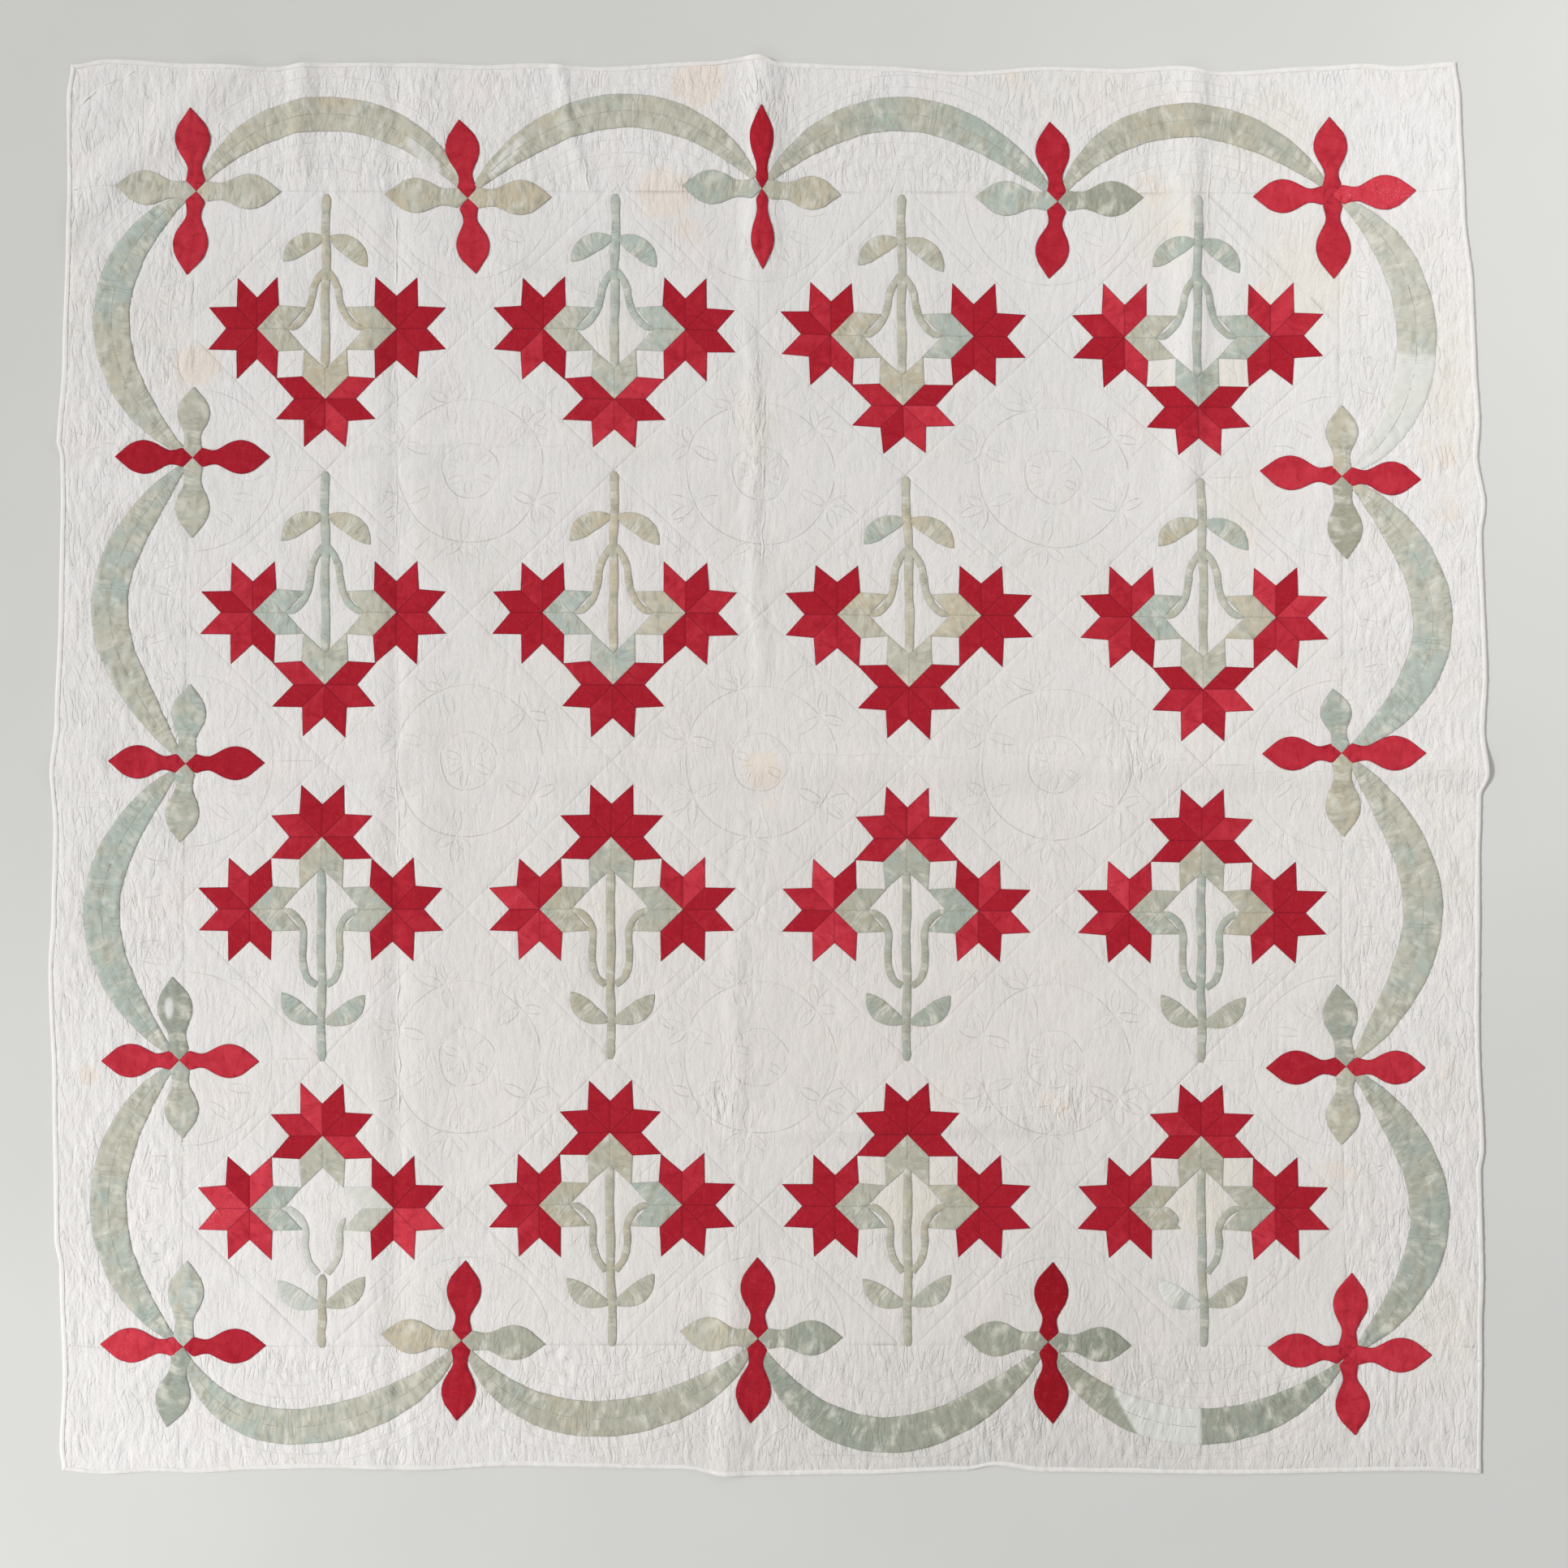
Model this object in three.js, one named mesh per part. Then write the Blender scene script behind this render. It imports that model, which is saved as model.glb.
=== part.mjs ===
// Lily pattern quilt, laid out flat and face up on the surface it rests on.
// Millimetres, +Z up. X runs to the right of the quilt and Y towards its top.
// The quilt is one quilted sheet with a folded cotton binding sewn round its
// edge in four strips. The sheet's underside lies on Z = 0 and lifts off it
// only under the folds.

import * as THREE from "three";

// ---- Driving dimensions ----
const FIELD_SIDE = 1700; // sixteen 12 inch lily blocks on point, four by four
const BORDER_WIDTH = 186; // plain strip round the field, out to the edge
const LOFT = 4; // top, thin cotton filling and backing, quilted together
const BINDING_COVER = 7; // how far the binding reaches in over the sheet
const BINDING_CLOTH = 0.8; // two turns of thin cotton
const GAP = 0.3; // clearance between pieces
const SHEET_STEP = 78; // widest spacing of the sheet's grid lines

// ---- Worked out from them ----
const HALF_SIDE = FIELD_SIDE / 2 + BORDER_WIDTH;
const SHEET_INSET = BINDING_CLOTH + GAP; // sheet edge, in from the quilt's edge
const MOUTH_INSET = BINDING_COVER + GAP; // just past the inner edge of the binding
const FULL_LOFT_INSET = 2 * BINDING_COVER; // where the sheet is back to its full loft
const MITRE_GAP = GAP * Math.SQRT2; // gap along the edge where two strips meet at 45 degrees

// ---- The corners, drawn in or out of a true square ----
const CORNERS = [
  { name: "bottomLeft", x: -5, y: -4 },
  { name: "bottomRight", x: 15, y: -8 },
  { name: "topLeft", x: 8, y: -3 },
  { name: "topRight", x: -23, y: 1 },
];

// ---- The edges, each swinging out of the straight line between its corners ----
// at: place along the edge from its middle; out: how far the edge stands outwards.
const TOP_EDGE = [
  { at: -978, out: 8 },
  { at: -850, out: 1 },
  { at: -735, out: -4 },
  { at: -680, out: 2 },
  { at: -510, out: 1 },
  { at: -415, out: -2 },
  { at: -345, out: 1 },
  { at: -250, out: -5 },
  { at: -80, out: 3 },
  { at: -8, out: 12 },
  { at: 25, out: 1 },
  { at: 160, out: -4 },
  { at: 303, out: -13 },
  { at: 423, out: -6 },
  { at: 540, out: -9 },
  { at: 614, out: -5 },
  { at: 686, out: -14 },
  { at: 830, out: -6 },
  { at: 901, out: -2 },
  { at: 949, out: -6 },
];
const BOTTOM_EDGE = [
  { at: -978, out: 5 },
  { at: -895, out: 1 },
  { at: -846, out: 3 },
  { at: -750, out: -2 },
  { at: -655, out: -4 },
  { at: -510, out: -2 },
  { at: -380, out: -8 },
  { at: -130, out: -4 },
  { at: -65, out: 6 },
  { at: 130, out: 3 },
  { at: 280, out: -3 },
  { at: 327, out: -10 },
  { at: 400, out: -1 },
  { at: 660, out: 2 },
  { at: 950, out: -3 },
];
const LEFT_EDGE = [
  { at: -1000, out: 4 },
  { at: -905, out: 0 },
  { at: -740, out: 6 },
  { at: -690, out: 14 },
  { at: -475, out: 18 },
  { at: -296, out: 25 },
  { at: -212, out: 21 },
  { at: -92, out: 19 },
  { at: -5, out: 24 },
  { at: 75, out: 18 },
  { at: 230, out: 13 },
  { at: 390, out: 11 },
  { at: 458, out: 12 },
  { at: 482, out: 17 },
  { at: 600, out: 10 },
  { at: 840, out: 4 },
  { at: 985, out: 6 },
];
const RIGHT_EDGE = [
  { at: -835, out: 5 },
  { at: -738, out: 9 },
  { at: -595, out: 8 },
  { at: -560, out: 13 },
  { at: -404, out: 9 },
  { at: -150, out: 14 },
  { at: -44, out: 18 },
  { at: -10, out: 30 },
  { at: 52, out: 25 },
  { at: 135, out: 30 },
  { at: 340, out: 26 },
  { at: 387, out: 32 },
  { at: 458, out: 22 },
  { at: 506, out: 26 },
  { at: 602, out: 22 },
  { at: 700, out: 20 },
  { at: 817, out: 10 },
  { at: 985, out: 6 },
];

// ---- The folds that stand up from the surface ----
// Each runs straight from (x0, y0) to (x1, y1), stands rise high, and slopes down
// over left and right, as seen when walking along it. One with fade sinks away
// over that length at both ends; the others run out over the edges.
const FOLDS = [
  { name: "middle ridge", x0: -52, y0: -1100, x1: -6, y1: 1100, rise: 9, left: 58, right: 32, fade: 0 },
  { name: "left pleat, outer side", x0: -578, y0: -1100, x1: -576, y1: 1100, rise: 5, left: 72, right: 30, fade: 0 },
  { name: "left pleat, inner side", x0: -518, y0: -1100, x1: -516, y1: 1100, rise: 5.5, left: 30, right: 78, fade: 0 },
  { name: "right ridge", x0: 618, y0: 330, x1: 634, y1: 1250, rise: 6, left: 44, right: 34, fade: 190 },
  { name: "upper cross fold", x0: -1240, y0: 480, x1: -60, y1: 462, rise: 4, left: 34, right: 34, fade: 180 },
  { name: "middle cross fold", x0: -1250, y0: -6, x1: 1250, y1: 2, rise: 5, left: 40, right: 46, fade: 120 },
  { name: "lower cross fold", x0: -70, y0: -540, x1: 470, y1: -528, rise: 4, left: 30, right: 24, fade: 130 },
  { name: "top crease", x0: -335, y0: 1120, x1: -258, y1: 820, rise: 6, left: 18, right: 26, fade: 70 },
  { name: "slanting crease", x0: -440, y0: 756, x1: -215, y1: 678, rise: 4, left: 18, right: 18, fade: 60 },
  { name: "corner fold", x0: -1130, y0: 700, x1: -700, y1: 1130, rise: 5, left: 50, right: 50, fade: 60 },
  { name: "top bump", x0: -688, y0: 800, x1: -688, y1: 1180, rise: 5, left: 30, right: 30, fade: 130 },
];

const smooth = (t) => t * t * (3 - 2 * t);
const clamp01 = (t) => Math.min(1, Math.max(0, t));
const mix = (a, b, t) => a + (b - a) * t;

// Height of a fold over its own line: a raised cosine across it, 1 at the crest.
function foldShape(fold, x, y) {
  const length = Math.hypot(fold.x1 - fold.x0, fold.y1 - fold.y0);
  const dirX = (fold.x1 - fold.x0) / length;
  const dirY = (fold.y1 - fold.y0) / length;
  const along = (x - fold.x0) * dirX + (y - fold.y0) * dirY;
  const toLeft = (y - fold.y0) * dirX - (x - fold.x0) * dirY;
  const across = Math.abs(toLeft) / (toLeft > 0 ? fold.left : fold.right);
  if (across >= 1 || along < 0 || along > length) return 0;
  const crest = (1 + Math.cos(Math.PI * across)) / 2;
  const ends = fold.fade ? smooth(clamp01(Math.min(along, length - along) / fold.fade)) : 1;
  return crest * ends;
}

// How high the sheet's underside stands over the surface: the highest fold there.
function lift(x, y) {
  return Math.max(...FOLDS.map((fold) => fold.rise * foldShape(fold, x, y)));
}

// Swing of an edge at a place along it, eased from row to row and nil at the corners.
function swing(rows, at) {
  const stops = [{ at: -HALF_SIDE, out: 0 }, ...rows, { at: HALF_SIDE, out: 0 }];
  const next = Math.max(1, stops.findIndex((row) => row.at >= at));
  const before = stops[next - 1];
  const after = stops[next];
  const t = clamp01((at - before.at) / (after.at - before.at));
  return mix(before.out, after.out, smooth(t));
}

// Where a point of the true square (x, y) lies on the quilt as it is: the four
// corners are pulled and the four edges swung, blended evenly over the sheet.
function lay(x, y) {
  const u = (x + HALF_SIDE) / (2 * HALF_SIDE);
  const v = (y + HALF_SIDE) / (2 * HALF_SIDE);
  const [bottomLeft, bottomRight, topLeft, topRight] = CORNERS;
  const pull = (axis) =>
    mix(mix(bottomLeft[axis], bottomRight[axis], u), mix(topLeft[axis], topRight[axis], u), v);
  const outX = mix(-swing(LEFT_EDGE, y), swing(RIGHT_EDGE, y), u);
  const outY = mix(-swing(BOTTOM_EDGE, x), swing(TOP_EDGE, x), v);
  return { x: x + pull("x") + outX, y: y + pull("y") + outY };
}

// Lift of a point of the square. Under the binding it is the lift of the edge
// itself, so that sheet and binding rise together.
function liftAt(x, y) {
  const toEdge = (a) => (Math.abs(a) > HALF_SIDE - FULL_LOFT_INSET ? Math.sign(a) * HALF_SIDE : a);
  const spot = lay(toEdge(x), toEdge(y));
  return lift(spot.x, spot.y);
}

// Grid lines for one way of the sheet. Every line has a place at its low end and
// one at its high end, so a line can lean with the fold that it follows. Lines
// lie at the edges, at the foot, shoulder and crest of each long fold, and then
// evenly between.
function gridLines(foldLines) {
  const edgeInsets = [SHEET_INSET, MOUTH_INSET, FULL_LOFT_INSET];
  const low = edgeInsets.map((inset) => ({ low: inset - HALF_SIDE, high: inset - HALF_SIDE }));
  const high = edgeInsets.map((inset) => ({ low: HALF_SIDE - inset, high: HALF_SIDE - inset }));
  const fixed = [...low, ...foldLines, ...high].sort((a, b) => a.low - b.low);
  const lines = [fixed[0]];
  for (const line of fixed.slice(1)) {
    const last = lines.at(-1);
    const parts = Math.ceil((line.low - last.low) / SHEET_STEP);
    for (let i = 1; i <= parts; i++) {
      lines.push({ low: mix(last.low, line.low, i / parts), high: mix(last.high, line.high, i / parts) });
    }
  }
  return lines;
}

// Lines along a fold, at parts of its left and right slopes (-1 left foot, 0
// crest, 1 right foot).
function linesAlong(name, parts, axis) {
  const fold = FOLDS.find((row) => row.name === name);
  return parts.map((part) => {
    const side = axis === "x" ? part : -part;
    const offset = side * (part < 0 ? fold.left : fold.right);
    return { low: fold[axis + "0"] + offset, high: fold[axis + "1"] + offset };
  });
}

const columns = gridLines([
  ...linesAlong("middle ridge", [-1, -0.4, 0, 0.4, 1], "x"),
  ...linesAlong("left pleat, outer side", [-1, -0.4, 0, 1], "x"),
  ...linesAlong("left pleat, inner side", [0, 0.4, 1], "x"),
  ...linesAlong("right ridge", [-1, 0, 1], "x"),
]);
const rows = gridLines([
  ...linesAlong("upper cross fold", [-1, 0, 1], "y"),
  ...linesAlong("middle cross fold", [-1, 0, 1], "y"),
  ...linesAlong("lower cross fold", [-1, 0, 1], "y"),
]);

// Crossing of a column and a row of the grid, on the true square.
function crossing(column, row) {
  const y = (row.low + row.high) / 2;
  const x = mix(column.low, column.high, (y + HALF_SIDE) / (2 * HALF_SIDE));
  return { x, y: mix(row.low, row.high, (x + HALF_SIDE) / (2 * HALF_SIDE)) };
}

function meshOf(name, vertices, triangles, color) {
  const geometry = new THREE.BufferGeometry();
  geometry.setAttribute("position", new THREE.Float32BufferAttribute(vertices.flat(), 3));
  geometry.setIndex(triangles.flat());
  geometry.computeVertexNormals();
  const material = new THREE.MeshStandardMaterial({ color, roughness: 0.95, metalness: 0 });
  const mesh = new THREE.Mesh(geometry, material);
  mesh.name = name;
  return mesh;
}

// Two triangles for the quad a b c d, seen anticlockwise from outside.
const quad = (a, b, c, d) => [
  [a, b, c],
  [a, c, d],
];

// The quilted sheet: a grid of upper and lower points, squeezed thin where the
// binding holds it, closed by a wall round its edge.
function quiltBody() {
  const vertices = [];
  for (const row of rows) {
    for (const column of columns) {
      const { x, y } = crossing(column, row);
      const spot = lay(x, y);
      const base = liftAt(x, y);
      const inset = HALF_SIDE - Math.max(Math.abs(x), Math.abs(y));
      const squeeze = inset < FULL_LOFT_INSET - 1 ? SHEET_INSET : 0;
      vertices.push([spot.x, spot.y, base + squeeze]);
      vertices.push([spot.x, spot.y, base + LOFT - squeeze]);
    }
  }
  const lower = (i, j) => 2 * (j * columns.length + i);
  const upper = (i, j) => lower(i, j) + 1;
  const lastI = columns.length - 1;
  const lastJ = rows.length - 1;
  const triangles = [];
  for (let j = 0; j < lastJ; j++) {
    for (let i = 0; i < lastI; i++) {
      triangles.push(...quad(upper(i, j), upper(i + 1, j), upper(i + 1, j + 1), upper(i, j + 1)));
      triangles.push(...quad(lower(i, j), lower(i, j + 1), lower(i + 1, j + 1), lower(i + 1, j)));
    }
  }
  for (let i = 0; i < lastI; i++) {
    triangles.push(...quad(lower(i, 0), lower(i + 1, 0), upper(i + 1, 0), upper(i, 0)));
    triangles.push(...quad(lower(i + 1, lastJ), lower(i, lastJ), upper(i, lastJ), upper(i + 1, lastJ)));
  }
  for (let j = 0; j < lastJ; j++) {
    triangles.push(...quad(lower(0, j + 1), lower(0, j), upper(0, j), upper(0, j + 1)));
    triangles.push(...quad(lower(lastI, j), lower(lastI, j + 1), upper(lastI, j + 1), upper(lastI, j)));
  }
  return meshOf("quilt_body", vertices, triangles, 0xdedcd6);
}

// Section of the binding, folded round the sheet's edge: the outside of the fold
// and then the same points on its inside. inset is in from the quilt's edge.
const BINDING_SECTION = [
  { outer: { inset: BINDING_COVER, z: 0 }, inner: { inset: BINDING_COVER, z: BINDING_CLOTH } },
  { outer: { inset: 0.4, z: 0 }, inner: { inset: BINDING_CLOTH, z: BINDING_CLOTH } },
  { outer: { inset: 0, z: LOFT / 2 }, inner: { inset: BINDING_CLOTH, z: LOFT / 2 } },
  { outer: { inset: 0.4, z: LOFT }, inner: { inset: BINDING_CLOTH, z: LOFT - BINDING_CLOTH } },
  { outer: { inset: BINDING_COVER, z: LOFT }, inner: { inset: BINDING_COVER, z: LOFT - BINDING_CLOTH } },
];

// The sides of the quilt, each walked anticlockwise round the quilt. spot turns a
// place along the side and an inset into a point of the true square.
const SIDES = [
  { name: "bottom", lines: columns, end: "low", turn: 1, spot: (at, inset) => [at, inset - HALF_SIDE] },
  { name: "right", lines: rows, end: "high", turn: 1, spot: (at, inset) => [HALF_SIDE - inset, at] },
  { name: "top", lines: columns, end: "high", turn: -1, spot: (at, inset) => [at, HALF_SIDE - inset] },
  { name: "left", lines: rows, end: "low", turn: -1, spot: (at, inset) => [inset - HALF_SIDE, at] },
];

// One strip of binding, its section carried along a side and mitred at both ends.
function bindingStrip(side) {
  const inner = side.lines.map((line) => line[side.end]).filter((at) => Math.abs(at) < HALF_SIDE - MOUTH_INSET);
  const places = side.turn > 0 ? inner : inner.reverse();
  const section = [...BINDING_SECTION.map((row) => row.outer), ...BINDING_SECTION.map((row) => row.inner).reverse()];
  const count = section.length;
  const vertices = [];
  const addRing = (placeOf) => {
    for (const point of section) {
      const [x, y] = side.spot(placeOf(point), point.inset);
      const spot = lay(x, y);
      vertices.push([spot.x, spot.y, liftAt(x, y) + point.z]);
    }
  };
  addRing((point) => side.turn * (point.inset + MITRE_GAP - HALF_SIDE));
  places.forEach((at) => addRing(() => at));
  addRing((point) => side.turn * (HALF_SIDE - point.inset - MITRE_GAP));
  const rings = places.length + 2;
  const triangles = [];
  for (let r = 0; r < rings - 1; r++) {
    for (let k = 0; k < count; k++) {
      const next = (k + 1) % count;
      const here = r * count;
      const there = here + count;
      triangles.push(...quad(here + k, there + k, there + next, here + next));
    }
  }
  const end = (rings - 1) * count;
  for (let k = 0; k < BINDING_SECTION.length - 1; k++) {
    const facing = count - 1 - k;
    triangles.push(...quad(k, k + 1, facing - 1, facing));
    triangles.push(...quad(end + k, end + facing, end + facing - 1, end + k + 1));
  }
  return meshOf("binding_" + side.name, vertices, triangles, 0xe4e0d4);
}

const quilt = new THREE.Group();
quilt.add(quiltBody(), ...SIDES.map(bindingStrip));

// The origin goes under the middle of the whole quilt.
const middle = new THREE.Box3().setFromObject(quilt).getCenter(new THREE.Vector3());
quilt.position.set(-middle.x, -middle.y, 0);

export default quilt;
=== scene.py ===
"""Lily pattern quilt, laid out flat and face up on a pale floor.

Lengths are in millimetres until a mesh is made. X runs to the right of the quilt, Y towards
its top and Z up from the floor. The quilt is drawn first on a true square, the pattern, and
real() then moves every point to where it lies on the old, slightly crooked quilt.
"""

import math

import bpy
import numpy as np
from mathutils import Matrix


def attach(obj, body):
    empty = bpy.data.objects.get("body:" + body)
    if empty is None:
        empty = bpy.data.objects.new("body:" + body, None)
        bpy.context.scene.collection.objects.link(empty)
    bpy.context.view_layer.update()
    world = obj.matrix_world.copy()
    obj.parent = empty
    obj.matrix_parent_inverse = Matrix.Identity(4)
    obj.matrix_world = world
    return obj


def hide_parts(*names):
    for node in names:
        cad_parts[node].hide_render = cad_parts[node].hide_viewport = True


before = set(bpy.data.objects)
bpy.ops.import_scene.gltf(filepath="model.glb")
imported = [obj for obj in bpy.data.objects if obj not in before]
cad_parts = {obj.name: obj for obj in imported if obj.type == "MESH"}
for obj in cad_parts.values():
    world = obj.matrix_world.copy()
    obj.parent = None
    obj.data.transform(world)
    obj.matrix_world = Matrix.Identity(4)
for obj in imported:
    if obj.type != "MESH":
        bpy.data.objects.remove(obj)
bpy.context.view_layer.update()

MM = 0.001

# ---- Camera, straight above, and soft light that grazes in from the left ----

VIEW_WIDTH = 2.3126
VIEW_MIDDLE = (0.0225, -0.0270)
LENS = 60.0
SENSOR = 36.0

camera = bpy.data.objects.new("camera", bpy.data.cameras.new("camera"))
camera.data.lens = LENS
camera.data.sensor_width = SENSOR
camera.location = (*VIEW_MIDDLE, VIEW_WIDTH * LENS / SENSOR)
bpy.context.scene.collection.objects.link(camera)
bpy.context.scene.camera = camera

# name, kind, place, turn about X, Y and Z in degrees, breadth in degrees or metres, strength
LAMPS = [
    ("window_light", "SUN", (-3.2, 0.7, 2.5), (0, -52, -12), 9.0, 2.42),
    ("upper_lamp", "AREA", (1.75, 1.0, 1.3), (0, 44, 24), 0.9, 8.4),
    ("lower_lamp", "AREA", (-1.6, -1.35, 1.2), (0, -43, 36), 0.9, 7.4),
]
for name, kind, spot, turn, breadth, strength in LAMPS:
    lamp = bpy.data.lights.new(name, kind)
    lamp.energy = strength
    if kind == "SUN":
        lamp.angle = math.radians(breadth)
    else:
        lamp.size = breadth
    holder = bpy.data.objects.new(name, lamp)
    holder.location = spot
    holder.rotation_euler = [math.radians(a) for a in turn]
    bpy.context.scene.collection.objects.link(holder)

sky = bpy.data.worlds.new("pale_room")
sky.use_nodes = True
sky.node_tree.nodes["Background"].inputs["Color"].default_value = (1.0, 0.99, 0.975, 1.0)
sky.node_tree.nodes["Background"].inputs["Strength"].default_value = 0.395
bpy.context.scene.world = sky
bpy.context.scene.view_settings.view_transform = "Standard"

# ---- Measures of the quilt ----

FIELD = 850.0  # middle of the quilt to the border seam
EDGE = 1036.0  # middle of the quilt to the outer edge
PITCH = 431.2  # from lily to lily
BLOCK = PITCH / math.sqrt(2)  # side of a block, set on point
LOFT = 4.0  # thickness of the quilted cloth
BINDING_COVER = 7.0  # how far in the binding reaches
SHIFT = np.array([-0.274, 0.495])  # brings the middle of the whole quilt over the origin
STAR = 43.2  # a star's own measure in the block: its lines are drawn in it
STAR_AT = 105.5  # middle of a lily to the middle of each of its stars
NOTCH = 47.0  # middle of a star to the notch between two diamonds
TIP = 82.0  # middle of a star to a diamond's tip
STEP = 5.0  # spacing of the ground's grid lines
LIP = 1.2  # how far in from a seam the cloth starts to roll down
THREAD_PITCH = 0.62  # from thread to thread in the weave
STITCH_PITCH = 4.6  # from stitch to stitch along a quilted line
MOST_RELIEF = 2.1  # height that the puckers come near and never pass
LILIES = [(row, column) for row in range(4) for column in range(4)]
PLAINS = [(row, column) for row in range(3) for column in range(3)]
SIDES = ("top", "bottom", "left", "right")

CORNERS = {"bottom_left": (-5, -4), "bottom_right": (15, -8), "top_left": (8, -3), "top_right": (-23, 1)}
TOP_EDGE = [
    (-978, 8), (-850, 1), (-735, -4), (-680, 2), (-510, 1), (-415, -2), (-345, 1), (-250, -5), (-80, 3),
    (-8, 12), (25, 1), (160, -4), (303, -13), (423, -6), (540, -9), (614, -5), (686, -14), (830, -6),
    (901, -2), (949, -6),
]
BOTTOM_EDGE = [
    (-978, 5), (-895, 1), (-846, 3), (-750, -2), (-655, -4), (-510, -2), (-380, -8), (-130, -4), (-65, 6),
    (130, 3), (280, -3), (327, -10), (400, -1), (660, 2), (950, -3),
]
LEFT_EDGE = [
    (-1000, 4), (-905, 0), (-740, 6), (-690, 14), (-475, 18), (-296, 25), (-212, 21), (-92, 19), (-5, 24),
    (75, 18), (230, 13), (390, 11), (458, 12), (482, 17), (600, 10), (840, 4), (985, 6),
]
RIGHT_EDGE = [
    (-835, 5), (-738, 9), (-595, 8), (-560, 13), (-404, 9), (-150, 14), (-44, 18), (-10, 30), (52, 25),
    (135, 30), (340, 26), (387, 32), (458, 22), (506, 26), (602, 22), (700, 20), (817, 10), (985, 6),
]

# x0, y0, x1, y1, rise, reach to the left, reach to the right, fade at the ends
FOLDS = [
    (-8, 1300, -16, 640, 7.0, 46, 32, 170),
    (-30, 700, -14, 90, 2.6, 22, 18, 80),
    (-44, -190, -56, -590, 2.2, 26, 22, 90),
    (-56, -680, -64, -1300, 4.5, 46, 34, 150),
    (-578, -1100, -576, 1100, 2.4, 72, 30, 0),
    (-518, -1100, -516, 1100, 2.4, 30, 78, 0),
    (618, 330, 634, 1250, 6, 44, 34, 190),
    (-1240, 480, -60, 462, 4, 34, 34, 180),
    (-1250, -6, 1250, 2, 5, 40, 46, 120),
    (-70, -540, 470, -528, 4, 30, 24, 130),
    (-335, 1120, -258, 820, 3.4, 16, 16, 70),
    (-440, 756, -215, 678, 4, 18, 18, 60),
    (-1130, 700, -700, 1130, 5, 50, 50, 60),
    (-688, 800, -688, 1180, 5, 30, 30, 130),
]

# How far the seams of the field wander, at the pattern's own crossings: rows from the
# bottom seam to the top seam, columns from the left seam to the right seam.
CROSSINGS = np.array([-850.0, -646.8, -215.6, 215.6, 646.8, 850.0])
WANDER_X = np.array([
    [-13.0, -11.4, -15.4, -10.4, -5.4, 6.0],
    [-14.0, -10.4, -18.4, -11.0, -9.4, -2.0],
    [-12.0, -12.4, -17.0, -12.4, -9.4, -6.0],
    [-9.0, -6.4, -13.0, -8.0, -6.0, -4.0],
    [3.0, -6.4, -11.4, -19.4, -16.4, -10.0],
    [5.0, -4.4, -10.4, -19.4, -14.4, -7.0],
])
WANDER_Y = np.array([
    [-6.0, -6.0, -4.0, -4.0, -5.0, -8.0],
    [-6.3, -6.3, -0.3, -3.3, -5.3, -6.0],
    [3.7, 3.7, 3.7, 1.7, -1.3, -2.0],
    [9.7, 9.7, 9.7, 5.7, 2.7, 2.0],
    [-3.0, -3.3, -3.1, -14.3, -16.8, -13.0],
    [-4.0, -4.0, -4.0, -5.0, -7.0, -8.0],
])


def smooth(t):
    """Ease from 0 to 1: 3 t squared less 2 t cubed, held at both ends."""
    t = np.clip(t, 0.0, 1.0)
    return t * t * (3.0 - 2.0 * t)


def swing(rows, at):
    """How far an edge stands out at places along it: eased from row to row, nil at the corners."""
    stops = np.array([(-EDGE, 0), *rows, (EDGE, 0)], float)
    k = np.clip(np.searchsorted(stops[:, 0], at), 1, len(stops) - 1)
    before, after = stops[k - 1], stops[k]
    t = (at - before[..., 0]) / (after[..., 0] - before[..., 0])
    return before[..., 1] + (after[..., 1] - before[..., 1]) * smooth(t)


def lay(x, y):
    """The outer edge's own way of moving a point of the square: its four corners are pulled and
    its four edges swung, each blended evenly over the square."""
    u = (x + EDGE) / (2 * EDGE)
    v = (y + EDGE) / (2 * EDGE)
    pulls = [np.array(CORNERS[k], float) for k in ("bottom_left", "bottom_right", "top_left", "top_right")]
    weights = [(1 - u) * (1 - v), u * (1 - v), (1 - u) * v, u * v]
    pull_x = sum(w * p[0] for w, p in zip(weights, pulls))
    pull_y = sum(w * p[1] for w, p in zip(weights, pulls))
    out_x = u * swing(RIGHT_EDGE, y) - (1 - u) * swing(LEFT_EDGE, y)
    out_y = v * swing(TOP_EDGE, x) - (1 - v) * swing(BOTTOM_EDGE, x)
    return x + pull_x + out_x, y + pull_y + out_y


def wander(table, x, y):
    """Value of a table of the crossings at (x, y), eased from crossing to crossing."""
    i = np.clip(np.searchsorted(CROSSINGS, x), 1, 5)
    j = np.clip(np.searchsorted(CROSSINGS, y), 1, 5)
    s = smooth((x - CROSSINGS[i - 1]) / (CROSSINGS[i] - CROSSINGS[i - 1]))
    t = smooth((y - CROSSINGS[j - 1]) / (CROSSINGS[j] - CROSSINGS[j - 1]))
    low = table[j - 1, i - 1] * (1 - s) + table[j - 1, i] * s
    high = table[j, i - 1] * (1 - s) + table[j, i] * s
    return low * (1 - t) + high * t


def real(x, y):
    """Where a point of the pattern lies on the quilt: it moves with the nearest seams in the
    field, and in the border more and more with the outer edge."""
    x, y = np.asarray(x, float), np.asarray(y, float)
    inner_x, inner_y = np.clip(x, -FIELD, FIELD), np.clip(y, -FIELD, FIELD)
    seam_x = x + wander(WANDER_X, inner_x, inner_y)
    seam_y = y + wander(WANDER_Y, inner_x, inner_y)
    edge_x, edge_y = lay(x, y)
    t = smooth((np.maximum(np.abs(x), np.abs(y)) - FIELD) / 150.0)
    return seam_x + (edge_x - seam_x) * t + SHIFT[0], seam_y + (edge_y - seam_y) * t + SHIFT[1]


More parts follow.
